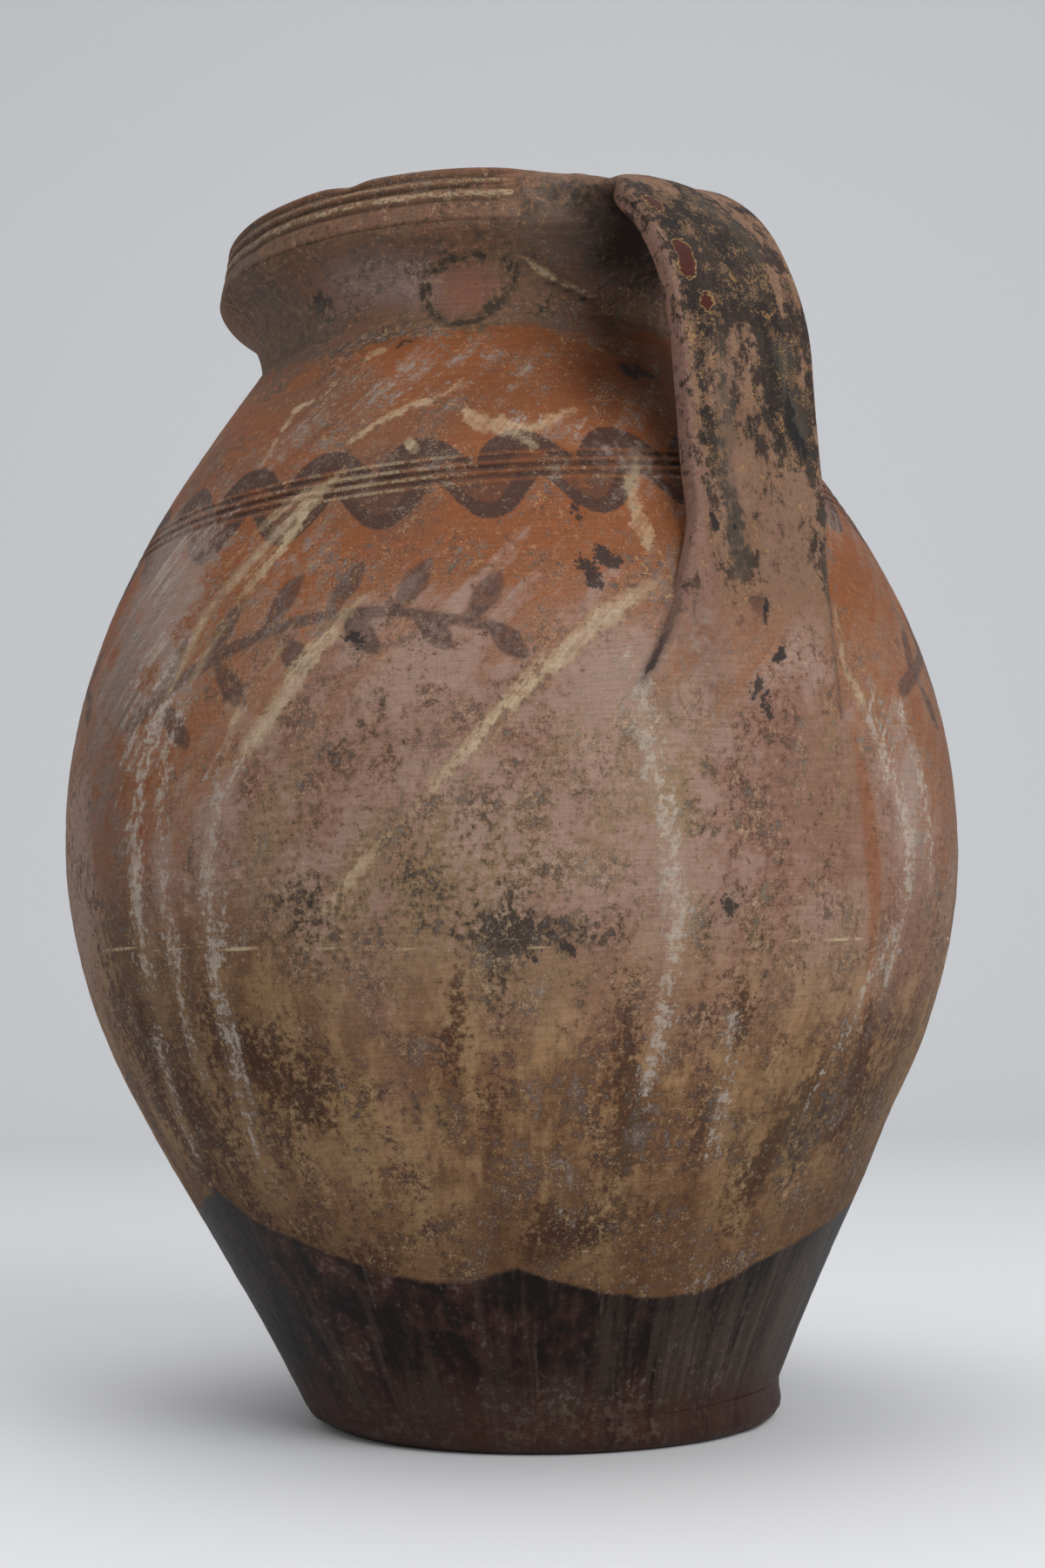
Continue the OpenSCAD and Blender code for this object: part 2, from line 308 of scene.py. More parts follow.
@dataclass
class Outline:
    """Half section of a turned piece: points (radius, height), and which of them lie outside."""

    points: list[Point]
    outer: list[bool]

    @classmethod
    def of(cls, outside: Sequence[Point], inside: Sequence[Point]) -> "Outline":
        """Joins the outside, going up, to the inside, coming down."""
        return cls(list(outside) + list(inside), [True] * len(outside) + [False] * len(inside))


def spin(points: Sequence[Point], steps: int, closed: bool) -> bmesh.types.BMesh:
    """Turns a half section once round the throwing axis.

    Args:
        points: radius and height of each point.
        steps: number of faces round the axis.
        closed: whether the last point joins the first.

    Returns:
        The turned shape.
    """
    bm = bmesh.new()
    index = bm.verts.layers.int.new("profile")
    verts = []
    for i, (r, z) in enumerate(points):
        vert = bm.verts.new((r, 0.0, z))
        vert[index] = i
        verts.append(vert)
    edges = [bm.edges.new(pair) for pair in zip(verts, verts[1:])]
    if closed:
        edges.append(bm.edges.new((verts[-1], verts[0])))
    bmesh.ops.spin(bm, geom=verts + edges, cent=(0, 0, 0), axis=(0, 0, 1), angle=FULL_TURN,
                   steps=steps, use_merge=True, use_duplicate=False)
    bmesh.ops.remove_doubles(bm, verts=bm.verts, dist=1e-4)
    bmesh.ops.recalc_face_normals(bm, faces=bm.faces)
    return bm


class Fields:
    """Painted and weathered features as distances or masks at each vertex, in the grain's frame."""

    def __init__(self, grain: np.ndarray) -> None:
        """Takes the vertices' places on the throwing axis, in millimetres."""
        self.angle = np.degrees(np.arctan2(grain[:, 1], grain[:, 0]))
        self.height = grain[:, 2]
        self.radius = TABLE.over(self.height)

    def across(self, angle: float) -> np.ndarray:
        """Signed distance round the jar from an angle in degrees, in millimetres."""
        turn = (self.angle - angle + 180) % 360 - 180
        return np.radians(turn) * self.radius

    def stroke(self, points: Sequence[tuple[float, float, float]]) -> np.ndarray:
        """Distance to the edge of a brush stroke, negative inside it.

        Args:
            points: angle in degrees, height and half width in millimetres along the stroke.

        Returns:
            The distance at each vertex in millimetres.
        """
        best = np.full(len(self.angle), 999.0)
        for (a0, z0, w0), (a1, z1, w1) in zip(points, points[1:]):
            x0 = self.across(a0)
            x1 = x0 - math.radians((a1 - a0 + 180) % 360 - 180) * self.radius
            y0, y1 = self.height - z0, self.height - z1
            dx, dy = x0 - x1, y0 - y1
            length = np.maximum(dx * dx + dy * dy, 1e-6)
            share = np.clip((x0 * dx + y0 * dy) / length, 0, 1)
            away = np.hypot(x0 - share * dx, y0 - share * dy)
            best = np.minimum(best, away - (w0 + (w1 - w0) * share))
        return best

    def patch(self, angle: float, height: float, wide: float, tall: float) -> np.ndarray:
        """Soft round mask, 1 in its middle."""
        x = self.across(angle) / wide
        y = (self.height - height) / tall
        return np.exp(-x * x - y * y)


Stroke = Sequence[tuple[float, float, float]]
Mark = tuple[float, float, float, float, float]
WAVES = 25
WAVE_START = -31.4
DRIPS: Sequence[Stroke] = (
    ((-15.5, 269, 1.6), (-19.0, 265, 2.6), (-24.0, 256, 2.8), (-33.0, 236, 2.8), (-44.8, 203, 1.6), (-57.9, 171, 0.2)),
    ((-52.0, 268, 0.4), (-55.0, 260, 2.6), (-61.1, 237, 2.6), (-66.0, 222, 0.4)),
    ((-57.0, 314, 0.4), (-64.1, 298, 1.6), (-74.0, 272, 1.6), (-79.0, 244, 0.6)),
    ((-59.0, 310, 0.6), (-66.0, 282, 1.8), (-72.0, 262, 1.0), (-76.0, 240, 0.3)),
    ((-60.0, 262, 0.4), (-66.0, 240, 1.0), (-69.0, 218, 0.4)),
    ((10.3, 263, 0.8), (8.8, 245, 2.0), (11.5, 232, 2.4), (12.6, 222, 0.8)),
    ((140.0, 292, 0.6), (133.0, 262, 2.6), (126.0, 236, 3.0), (122.0, 190, 1.4)),
    ((205.0, 282, 0.6), (199.0, 250, 2.2), (196.0, 200, 2.6), (195.0, 150, 1.0)),
)
MILKS: Sequence[Stroke] = (
    ((-21.0, 246, 0.4), (-19.6, 236, 1.0), (-20.0, 222, 1.6), (-18.8, 206, 1.8), (-17.6, 186, 2.6), (-17.0, 168, 2.8),
     (-18.0, 150, 2.2), (-18.6, 134, 1.4), (-20.5, 112, 0.4)),
    ((-66.0, 222, 0.6), (-70.0, 205, 1.6), (-71.6, 184, 2.8), (-72.6, 158, 2.4), (-73.4, 136, 1.8), (-74.8, 116, 1.2),
     (-76.0, 98, 0.3)),
    ((-79.0, 244, 1.0), (-82.4, 222, 2.2), (-84.0, 200, 3.8), (-84.6, 176, 3.0), (-85.8, 152, 2.4), (-89.0, 126, 1.8),
     (-92.0, 100, 0.5)),
    ((-9.6, 136, 0.3), (-8.6, 114, 1.3), (-8.8, 92, 0.3)), ((16.0, 160, 0.4), (12.0, 142, 1.4), (9.0, 122, 1.5), (6.0, 104, 0.4)),
    ((-76.0, 240, 0.4), (-78.4, 218, 1.2), (-79.0, 190, 2.8), (-79.4, 162, 2.2), (-81.0, 124, 0.5)),
    ((-69.0, 218, 0.3), (-70.5, 196, 0.8), (-70.0, 164, 0.4)),
    ((12.6, 226, 0.8), (14.6, 212, 2.6), (17.0, 200, 4.2), (18.6, 186, 3.4), (18.0, 168, 1.2), (17.0, 146, 0.5)),
    ((20.0, 232, 0.4), (22.0, 214, 2.0), (24.0, 196, 2.4), (25.0, 176, 0.6)),
    ((128.0, 240, 0.8), (122.0, 206, 2.6), (121.0, 150, 0.8)), ((197.0, 236, 0.8), (195.0, 190, 2.6), (196.0, 140, 0.6)))
VEINS: Sequence[Stroke] = (
    ((-39.5, 343, 0.9), (-42.4, 339.6, 1.2), (-44.6, 337, 1.8), (-48.2, 336, 0.8), (-53.7, 330.5, 0.9), (-57.4, 325, 0.8), (-60, 321, 0.4)),
    ((-44.6, 337, 0.5), (-39.4, 333.7, 1.6), (-36.6, 327, 1.8), (-32.7, 324, 2.6), (-27.4, 324.4, 1.6), (-21.9, 331, 0.7)),
    ((-33.2, 328, 1.2), (-31.4, 323, 2.2), (-28.8, 317.8, 0.8)),
    ((-59.8, 309, 0.8), (-63.3, 308, 1.2), (-66.2, 302.7, 1.0), (-69.1, 297.2, 0.8), (-72.9, 286.8, 0.5)),
    ((-61.8, 305, 1.0), (-61.9, 297.3, 1.2), (-64.6, 285, 1.0), (-66.5, 278, 0.4)),
    ((-56.8, 362, 0.5), (-63.2, 355.5, 0.9), (-66.7, 346.3, 0.7), (-71.9, 343.4, 0.9), (-73.0, 333.8, 0.6), (-73.7, 322.6, 0.4)),
    ((-47.3, 322, 0.8), (-46.4, 319, 1.5), (-46.0, 318, 0.5)),
    ((-12.3, 318, 0.5), (-14.0, 312, 1.2), (-16.5, 300, 2.0), (-16.2, 286, 2.4), (-15.5, 277, 0.8)),
    ((96, 346, 0.6), (88, 338, 1.6), (80, 326, 1.2), (76, 318, 0.5)),
    ((180, 352, 0.6), (172, 338, 1.4), (166, 330, 1.6), (158, 326, 0.5)),
)
STREAKS: Sequence[Stroke] = (
    ((-75.0, 156, 1.5), (-74.0, 144, 3.5), (-70.5, 130, 8.0), (-65.5, 118, 7.0), (-61.0, 110, 2.0)),
    ((-42.0, 156, 1.0), (-42.4, 146, 4.0), (-42.8, 134, 4.5), (-43.5, 122, 1.0)),
    ((-22.6, 152, 1.0), (-22.8, 140, 2.6), (-22.4, 124, 5.0), (-21.6, 106, 7.0), (-22.6, 88, 4.0), (-22.0, 74, 2.0)),
    ((-36.5, 68, 3.0), (-33.0, 70.5, 6.5), (-29.0, 71.5, 5.0), (-23.0, 75.0, 3.0), (-18.0, 80, 1.0)),
    ((9.0, 126, 2.0), (6.0, 114, 6.0), (3.0, 98, 7.0), (-1.0, 82, 6.5), (-2.0, 70, 3.0)), ((-10.5, 150, 1.5), (-8.0, 140, 5.0), (-7.5, 128, 2.0)),
    ((14.0, 136, 2.0), (16.0, 118, 6.0), (15.0, 98, 5.0)), ((-11.6, 110, 0.8), (-11.0, 101, 2.4), (-11.4, 93, 0.8)),
    ((-83.0, 84, 4.0), (-77.0, 76, 3.0), (-72.0, 72, 1.0)),
    ((-67.0, 68, 2.5), (-62.0, 66, 4.0), (-57.0, 63, 1.5)), ((-89.0, 150, 4.0), (-95.0, 116, 8.0), (-92.0, 94, 6.0)),
    ((120.0, 140, 3.0), (121.0, 110, 6.0), (120.0, 90, 2.0)), ((205.0, 150, 3.0), (207.0, 120, 7.0), (206.0, 90, 3.0)),
    ((160.0, 124, 2.0), (162.0, 95, 5.0), (161.0, 84, 1.0)), ((60.0, 140, 2.0), (61.0, 112, 5.0), (60.0, 92, 2.0)))
MAUVES: Sequence[Mark] = (
    (-56, 386, 15, 8, 1.0), (-65, 392, 13, 6, 0.8), (-48, 384, 8, 8, 0.6), (-74, 383, 10, 8, 0.5), (120, 386, 50, 8, 0.8),
    (-51, 117, 9, 15, 0.8), (-54, 150, 12, 20, 0.6), (-20, 150, 7, 26, 0.35), (30, 150, 16, 22, 0.5))
HAZES: Sequence[Mark] = (
    (-93, 246, 14, 36, 0.8), (-12, 256, 8, 20, 0.6), (-86, 286, 24, 20, 1.0), (-82, 262, 20, 24, 0.8), (-66, 288, 14, 10, 0.5), (-93, 306, 20, 20, 0.8), (-70, 326, 20, 12, 0.5),
    (20, 204, 12, 34, 0.8), (26, 292, 24, 14, 0.6), (-24, 238, 14, 16, 0.5), (-18, 196, 8, 40, 0.4), (-48, 352, 30, 8, 0.4),
    (-26, 324, 16, 6, 0.7), (-14, 308, 14, 16, 0.6), (-58, 262, 20, 20, 0.3), (130, 262, 60, 30, 0.6), (205, 240, 50, 30, 0.6))
LOWS: Sequence[Mark] = ((-88, 158, 30, 50, 0.9), (-70, 162, 28, 28, 0.9), (-60, 200, 20, 24, 0.3), (40, 160, 30, 40, 0.4), (140, 150, 80, 40, 0.5))
RINGS: Sequence[Stroke] = (
    ((-48.9, 382, 1.5), (-46.8, 387, 1.1), (-43.0, 390.4, 1.4), (-36.3, 391.3, 1.1), (-30.6, 390, 1.3), (-27.7, 386.9, 1.6),
     (-28.2, 381, 1.2), (-32.0, 375.4, 1.6), (-37.1, 369.5, 2.2), (-42.9, 369.4, 1.4), (-46.9, 374.1, 1.7), (-48.9, 382, 1.5)),
    ((-20.4, 383.8, 0.8), (-19.3, 378.8, 1.3), (-21.5, 373.3, 1.1), (-25.5, 370.5, 0.7)),
    ((-28.1, 383.7, 0.6), (-34.0, 376.1, 1.0), (-37.1, 368.5, 1.2)))
# Grey dust in soft patches; towards the left side they also stand for painted shade.
DUST_AND_SHADE_PATCHES: Sequence[Mark] = (
    (-92, 250, 20, 80, 0.8), (-8, 398, 30, 16, 1.4), (-80, 372, 26, 16, 0.9), (-60, 395, 40, 5, 0.6), (-14, 366, 20, 6, 0.8),
    (-96, 400, 20, 24, 0.9), (60, 250, 20, 60, 0.5), (200, 300, 60, 60, 0.6), (120, 120, 60, 40, 0.5))
# Painted shadow, deepened with soot, in the hollow under the strap's root.
ROOT_SHADE_AND_SOOT_PATCHES: Sequence[Mark] = ((-6, 394, 9, 6, 1.2), (-13, 400, 7, 4, 0.7), (-12, 407, 7, 5, 1.0), (-8, 411, 5, 4, 0.8), (-17, 404, 5, 4, 0.5), (5, 390, 12, 8, 0.8), (-4, 402, 9, 4, 0.6))
RUNS: Sequence[Mark] = (
    (-84, 262, 20, 34, 0.8), (-84, 200, 12, 40, 0.5), (-72, 186, 8, 30, 0.3), (-66, 230, 10, 26, 0.5), (-18, 212, 5, 30, 0.5),
    (14, 212, 6, 28, 0.8), (-92, 300, 20, 20, 0.6), (170, 220, 40, 60, 0.7), (124, 210, 20, 50, 0.5), (4, 130, 6, 26, 0.4))
# Painted highlight: a thin pale line along the top of the dragged crease on the neck.
CREASE_HIGHLIGHTS: Sequence[Stroke] = (
    ((-26.0, 391.0, 0.2), (-23.4, 388.2, 0.9), (-21.6, 386.6, 1.1), (-17.4, 383.6, 0.4), (-12.0, 380.6, 0.5), (-6.8, 377.8, 0.2)),)
# Painted shadow: dark lines under the dragged crease on the neck and along the strap foot's lifted edges.
CREASE_SHADOWS: Sequence[Stroke] = (
    ((-20.5, 383.6, 0.1), (-16.0, 380.9, 0.3), (-11.4, 378.4, 0.8), (-7.6, 376.4, 0.5)),
    ((-12.6, 272, 0.5), (-14.8, 259.8, 1.0), (-16.5, 251.4, 0.9), (-18.6, 241.7, 0.7), (-20.1, 235.6, 0.2)),
    ((7.4, 262, 0.3), (6.9, 245, 0.4), (6.7, 228, 0.1)))
# Painted shade: soft patches where the strap casts its shadow on the shoulder, in the hollow under its root, low on the
# front and towards the sides.
PAINTED_SHADE_PATCHES: Sequence[Mark] = (
    (-7, 396, 18, 11, 1.3), (-14, 352, 24, 16, 0.6), (-6, 322, 9, 40, 0.5), (-12, 258, 7, 24, 0.6), (-15, 338, 10, 14, 0.5), (-34, 338, 30, 12, 0.3), (-76, 128, 44, 46, 0.5),
    (-90, 170, 22, 60, 0.5), (6, 104, 28, 18, 0.5), (30, 104, 24, 34, 0.6), (-18, 80, 60, 14, 0.3), (40, 200, 30, 60, 0.3),
    (150, 300, 90, 60, 0.3), (215, 130, 60, 50, 0.5), (110, 110, 50, 40, 0.5))
BLACKS: Sequence[Stroke] = (
    ((-24.6, 293, 0.7), (-24.2, 290.5, 0.8)),
    ((-22.6, 279.6, 1.0), (-21.4, 276.5, 1.5), (-19.6, 276.4, 0.9)),
    ((-24.6, 274.5, 1.3), (-24.0, 270.5, 1.9), (-22.8, 268.0, 0.8)),
    ((-52.9, 363.4, 0.8), (-50.2, 364.0, 0.7)),
    ((-11.2, 359.0, 0.7), (-8.0, 357.4, 1.0)),
    ((-8.8, 349.6, 0.8), (-7.2, 347.6, 1.1), (-5.8, 350.0, 0.8), (-4.4, 347.6, 1.2), (-3.0, 346.6, 0.8)),
    ((-52.6, 256.5, 0.3), (-51.0, 253.5, 0.6)), ((-43.2, 180.8, 0.3), (-44.0, 178.2, 0.6)),
    ((-11.4, 170.4, 0.6), (-10.6, 168.2, 1.0)), ((-36.4, 163.6, 0.3), (-34.6, 160.0, 0.8), (-33.4, 157.4, 0.3)),
    ((-31.0, 162.4, 0.5), (-29.6, 158.0, 0.7)), ((-5.8, 237.0, 1.0), (-5.2, 231.0, 1.3), (-4.9, 226.0, 0.8)),
    ((120.0, 262.0, 1.0), (122.5, 258.0, 1.2)), ((204.0, 296.0, 1.0), (206.5, 293.0, 1.4)),
)
SOOT: Sequence[Mark] = (
    (-46, 182, 30, 17, 1.0), (-38, 172, 28, 9, 0.7), (-34, 164, 20, 6, 2.0), (-58, 168, 12, 10, 0.9), (-13, 182, 14, 16, 0.5), (-38, 150, 8, 10, 1.2), (-26, 158, 8, 10, 0.9), (-60, 180, 12, 12, 0.8), (-38, 198, 10, 10, 0.7),
    (-16, 211, 10, 8, 0.8), (-15, 195, 8, 10, 0.8), (-13, 160, 8, 10, 0.7), (-10, 169, 5, 5, 1.2),
    (-48, 112, 10, 9, 0.7), (-22, 104, 9, 22, 0.7), (-9, 108, 9, 22, 0.7), (6, 92, 10, 18, 0.9), (12, 106, 9, 20, 0.9),
    (-52, 252, 9, 9, 1.1), (-49, 230, 8, 9, 0.9), (-55, 221, 9, 6, 0.9), (-70, 238, 12, 20, 0.6),
    (-24, 274, 6, 7, 0.7), (-6, 352, 9, 7, 0.6), (-30, 366, 40, 4, 0.6), (-85, 352, 30, 16, 0.8), (-88, 160, 16, 40, 0.5), (-47, 111, 10, 8, 0.8), (5, 104, 12, 22, 0.9), (-21, 100, 5, 24, 0.7),
    (-8, 401, 12, 5, 0.9), (4, 394, 20, 9, 1.4), (-15, 411, 10, 5, 0.8), (30, 398, 22, 12, 1.4),
    (-96, 388, 20, 14, 0.8), (-84, 404, 20, 5, 0.6), (-60, 402, 30, 3, 0.6), (-88, 366, 24, 8, 0.7), (-20, 408, 9, 6, 1.1), (-14, 403, 8, 6, 0.9), (-24, 403, 6, 3, 0.8), (-77, 387, 5, 4, 2.4), (-70, 378, 26, 7, 0.7), (-38, 369, 10, 3, 1.3), (100, 200, 50, 40, 0.8),
    (170, 140, 60, 30, 0.8), (230, 230, 40, 40, 0.7), (140, 385, 60, 14, 0.8), (60, 330, 30, 20, 0.8))
STAINS: Sequence[Mark] = (
    (-67, 132, 16, 9, 1.1), (-74, 142, 14, 12, 0.9), (-60, 124, 12, 8, 0.8), (-30, 73, 17, 5, 1.2), (-33, 79, 6, 5, 1.2),
    (-24, 104, 10, 18, 0.5), (-44, 132, 5, 22, 0.8), (-39, 116, 9, 7, 0.7), (-96, 150, 14, 40, 0.9), (10, 122, 5, 20, 0.7),
    (14, 100, 12, 16, 0.7), (3, 78, 16, 10, 0.5), (22, 108, 16, 34, 0.7), (-84, 108, 14, 24, 0.9), (-68, 112, 26, 10, 0.6), (150, 110, 50, 20, 0.9), (215, 120, 30, 20, 0.9))
VEILS: Sequence[Mark] = (
    (-86, 262, 34, 34, 1.0), (-84, 186, 24, 36, 0.4), (19, 205, 12, 36, 0.9), (-24, 240, 20, 26, 0.5), (-60, 384, 20, 6, 0.4),
    (-4, 28, 26, 22, 0.9), (24, 34, 26, 26, 1.3), (-40, 12, 60, 12, 0.8),
    (160, 240, 80, 50, 0.7), (-62, 345, 40, 14, 0.6), (-26, 326, 20, 5, 0.9), (-33, 372, 50, 5, 0.6), (-68, 300, 22, 10, 0.8))
TANS: Sequence[Mark] = (
    (-30, 190, 50, 20, 0.4), (-25, 225, 30, 20, 0.3), (4, 215, 20, 30, 0.5), (-55, 150, 40, 14, 0.6),
    (-46, 176, 34, 22, 0.9), (-36, 150, 40, 12, 0.8), (-17, 200, 9, 22, 0.9), (-8, 150, 24, 18, 0.8), (-62, 190, 16, 40, 0.6),
    (8, 150, 14, 30, 0.6), (-30, 396, 14, 3, 1.6), (-24, 410, 7, 3, 1.6), (-17, 411, 5, 3, 1.0), (140, 170, 60, 26, 0.9), (215, 180, 40, 26, 0.9))
ORANGES: Sequence[Stroke] = (((8.5, 222, 1.0), (9.4, 208, 2.2), (10.8, 182, 2.8), (11.5, 165, 2.6), (13.0, 134, 0.6)),)
DIP_EDGE = ((-93, 90), (-85, 79), (-72, 70), (-63, 63), (-52, 58), (-43, 60.5), (-38, 62.5), (-31, 57), (-22, 52),
            (-12, 49), (-2, 50.5), (7, 57), (21, 63), (40, 70), (62, 60), (88, 55), (104, 63), (128, 52), (158, 50),
            (180, 60), (204, 54), (230, 62), (252, 80), (267, 87))
SLIP_EDGE = ((-95, 176), (-82, 180), (-74, 206), (-64, 240), (-52, 258), (-43, 258), (-33, 248), (-20, 252), (-8, 250),
             (4, 246), (12, 222), (24, 192), (50, 180), (90, 205), (140, 240), (180, 232), (220, 244), (265, 228))
SCRATCH = ((-95, 169), (-71, 165.2), (-54, 162.4), (-44, 160.8), (-25, 158.8), (22, 157.7), (60, 158), (180, 163), (265, 169))


def banded(fields: Fields) -> Fields:
    """The same vertices folded on to one repeat of the wave band, with the band brought level."""
    pitch = 360 / WAVES
    tilt = SHAPE.comb_tilt * fields.radius * np.cos(np.radians(fields.angle) - SHAPE.right_of_view)
    folded = Fields.__new__(Fields)
    folded.angle = (fields.angle - WAVE_START) % pitch + WAVE_START
    folded.height = fields.height - tilt
    folded.radius = fields.radius
    return folded


def hump(turn: float) -> Stroke:
    """Brush stroke over the band: heavy on its left, thinning down to the right."""
    steps = (i / 12 for i in range(13))
    return [(WAVE_START + turn - 3.4 + 10.6 * t, SHAPE.comb_z + 2.5 + 7.0 * math.sin(math.pi * t ** 0.75),
             5.2 - 3.5 * t ** 1.1) for t in steps]


def bowl(turn: float) -> Stroke:
    """Brush stroke under the band: it falls to the right and ends round and heavy."""
    steps = (i / 12 for i in range(13))
    return [(WAVE_START + turn + 3.4 + 12.2 * t, SHAPE.comb_z - 3 - 12.8 * math.sin(math.pi * t ** 1.25),
             1.5 + 2.0 * t) for t in steps]


def wave_distance(fields: Fields) -> np.ndarray:
    """Distance to the strokes of the wave band."""
    folded, pitch = banded(fields), 360 / WAVES
    best = np.full(len(fields.angle), 999.0)
    for turn in (-pitch, 0.0, pitch):
        best = np.minimum(best, folded.stroke(hump(turn)))
        best = np.minimum(best, folded.stroke(bowl(turn)))
    return best


def wash_mask(fields: Fields) -> np.ndarray:
    """Thin slip that fills the humps' left halves and the bowls."""
    folded, pitch = banded(fields), 360 / WAVES
    above = folded.height - SHAPE.comb_z
    mask = np.zeros(len(fields.angle))
    for turn in (-pitch, 0.0, pitch):
        t = np.clip((folded.angle - WAVE_START - turn + 3.4) / 10.6, 0, 1)
        roof = 2.5 + 7.0 * np.sin(np.pi * t ** 0.75)
        mask = np.maximum(mask, np.clip((roof - above) / 1.5, 0, 1) * np.clip((above + 1) / 1.5, 0, 1) * (1.1 - t))
        t = np.clip((folded.angle - WAVE_START - turn - 3.4) / 12.2, 0, 1)
        floor = -3 - 12.8 * np.sin(np.pi * t ** 1.25)
        mask = np.maximum(mask, np.clip((above - floor) / 1.5, 0, 1) * np.clip((1 - above) / 1.5, 0, 1) * (0.6 + 0.3 * t))
    return mask


def comb_distance(fields: Fields) -> np.ndarray:
    """Distance to the nearest combed line."""
    folded = banded(fields)
    lines = [np.abs(folded.height - SHAPE.comb_z - k * SHAPE.comb_pitch) for k in (-1, 0, 1)]
    return np.minimum.reduce(lines)


def leaf(angle: float, height: float, lean: float, length: float) -> Stroke:
    """One brushed leaf that swells from its stalk and runs out in a point."""
    return [(angle + 0.36 * length * t * math.cos(lean), height + length * t * math.sin(lean), half)
            for t, half in ((0.0, 0.9), (0.3, 3.2), (0.55, 4.2), (0.8, 2.8), (1.0, 0.6))]


def sprig_distance(fields: Fields) -> np.ndarray:
    """Distance to a faded branch with paired leaves, painted below the band."""
    best = np.full(len(fields.angle), 999.0)
    for start in (-86.0, 22.0, 116.0, 206.0):
        stem = [(start + 4.3 * i, 239 + 25 * math.sin(i / 12 * 2.5), 3.0 - 0.12 * i) for i in range(13)]
        best = np.minimum(best, fields.stroke(stem))
        for k in range(1, 13, 2):
            angle, height, _ = stem[k]
            best = np.minimum(best, fields.stroke(leaf(angle, height, 0.95, 26 - 0.6 * k)))
            best = np.minimum(best, fields.stroke(leaf(angle + 2.2, height, -0.80, 24 - 0.6 * k)))
    return best


def over_edge(fields: Fields, edge: Sequence[Point]) -> np.ndarray:
    """Height above an edge that runs round the jar, given as angles and heights."""
    angles = np.array([a for a, _ in edge], dtype=float)
    heights = np.array([z for _, z in edge], dtype=float)
    turn = (fields.angle - angles[0]) % 360 + angles[0]
    return fields.height - np.interp(turn, angles, heights)


def flow_places(fields: Fields, bend: float = 200.0, slope: float = 1.1, reach: float = 150.0) -> np.ndarray:
    """Places that run with the drips: down the belly, and slanting above it.

    Args:
        fields: the vertices.
        bend: height in millimetres where the drips turn upright.
        slope: how far they run round the jar for each millimetre of height above that.
        reach: radius of the ring that the places lie on.

    Returns:
        One place for each vertex, in metres.
    """
    above = fields.height - bend
    climb = (above + np.hypot(above, 60)) / 2
    turn = np.radians(fields.angle) - slope * climb / reach
    return np.stack([reach * np.cos(turn), reach * np.sin(turn), fields.height], axis=1) * MM


def patches(fields: Fields, marks: Sequence[Mark]) -> np.ndarray:
    """Sum of soft patches given as angle, height, width, tallness and strength."""
    return sum(strength * fields.patch(*place) for *place, strength in marks)


def nearest(fields: Fields, strokes: Sequence[Stroke]) -> np.ndarray:
    """Distance to the nearest of some strokes, in metres and not over 50 mm."""
    return np.clip(np.minimum.reduce([fields.stroke(points) for points in strokes]), -50, 50) * MM


def rim_level(fields: Fields) -> np.ndarray:
    """Height over the rim band's lower edge, as it was before the rim tilted."""
    reach = fields.radius * np.cos(np.radians(fields.angle) - SHAPE.right_of_view)
    return fields.height - SHAPE.rim_tilt * reach - SHAPE.rim_z


def paint_fields(mesh: bpy.types.Mesh, grain: np.ndarray, inner: np.ndarray) -> None:
    """Stores every painted feature of the wall on a mesh as attributes, distances in metres.

    Args:
        mesh: the mesh.
        grain: the vertices' places on the throwing axis, in millimetres.
        inner: 1 for each vertex inside the jar, 0 outside.
    """
    fields = Fields(grain)
    level = rim_level(fields)
    # Depth of the turned grooves, used for painted shade in them.
    groove_shade_depth = sum(depth * np.exp(-((level - z) / 0.8) ** 2) for z, depth in RIM_GROOVES)
    values = {
        "height": fields.height * MM,
        "wave": wave_distance(fields) * MM,
        "wash": wash_mask(fields),
        "comb": comb_distance(fields) * MM,
        "sprig": sprig_distance(fields) * MM,
        "drip": nearest(fields, DRIPS),
        "milk": nearest(fields, MILKS),
        "vein": nearest(fields, VEINS),
        "black": nearest(fields, BLACKS),
        "orange": nearest(fields, ORANGES),
        "dip": over_edge(fields, DIP_EDGE) * MM,
        "slip": over_edge(fields, SLIP_EDGE) * MM,
        "scratch": np.abs(over_edge(fields, SCRATCH)) * MM,
        "soot": patches(fields, SOOT),
        "stain": patches(fields, STAINS),
        "veil": patches(fields, VEILS),
        "tan": patches(fields, TANS),
        "painted_shade": patches(fields, PAINTED_SHADE_PATCHES),
        "runs": patches(fields, RUNS),
        "root_shade_and_soot": patches(fields, ROOT_SHADE_AND_SOOT_PATCHES),
        "crease": nearest(fields, CREASE_SHADOWS),
        "streak": nearest(fields, STREAKS),
        "mauve": patches(fields, MAUVES),
        "haze": patches(fields, HAZES),
        "low": patches(fields, LOWS),
        "line": nearest(fields, CREASE_HIGHLIGHTS),
        "pink": fields.patch(-38.3, 380.5, 10, 7.5),
        "ring": nearest(fields, RINGS),
        "dust_and_shade": patches(fields, DUST_AND_SHADE_PATCHES),
        "rim": level * MM,
        "groove_shade": groove_shade_depth,
        "inner": inner,
    }
    for name, column in values.items():
        layer = mesh.attributes.new(name, "FLOAT", "POINT")
        layer.data.foreach_set("value", column.astype(np.float32))
    flow = mesh.attributes.new("flow", "FLOAT_VECTOR", "POINT")
    flow.data.foreach_set("vector", flow_places(fields).astype(np.float32).ravel())


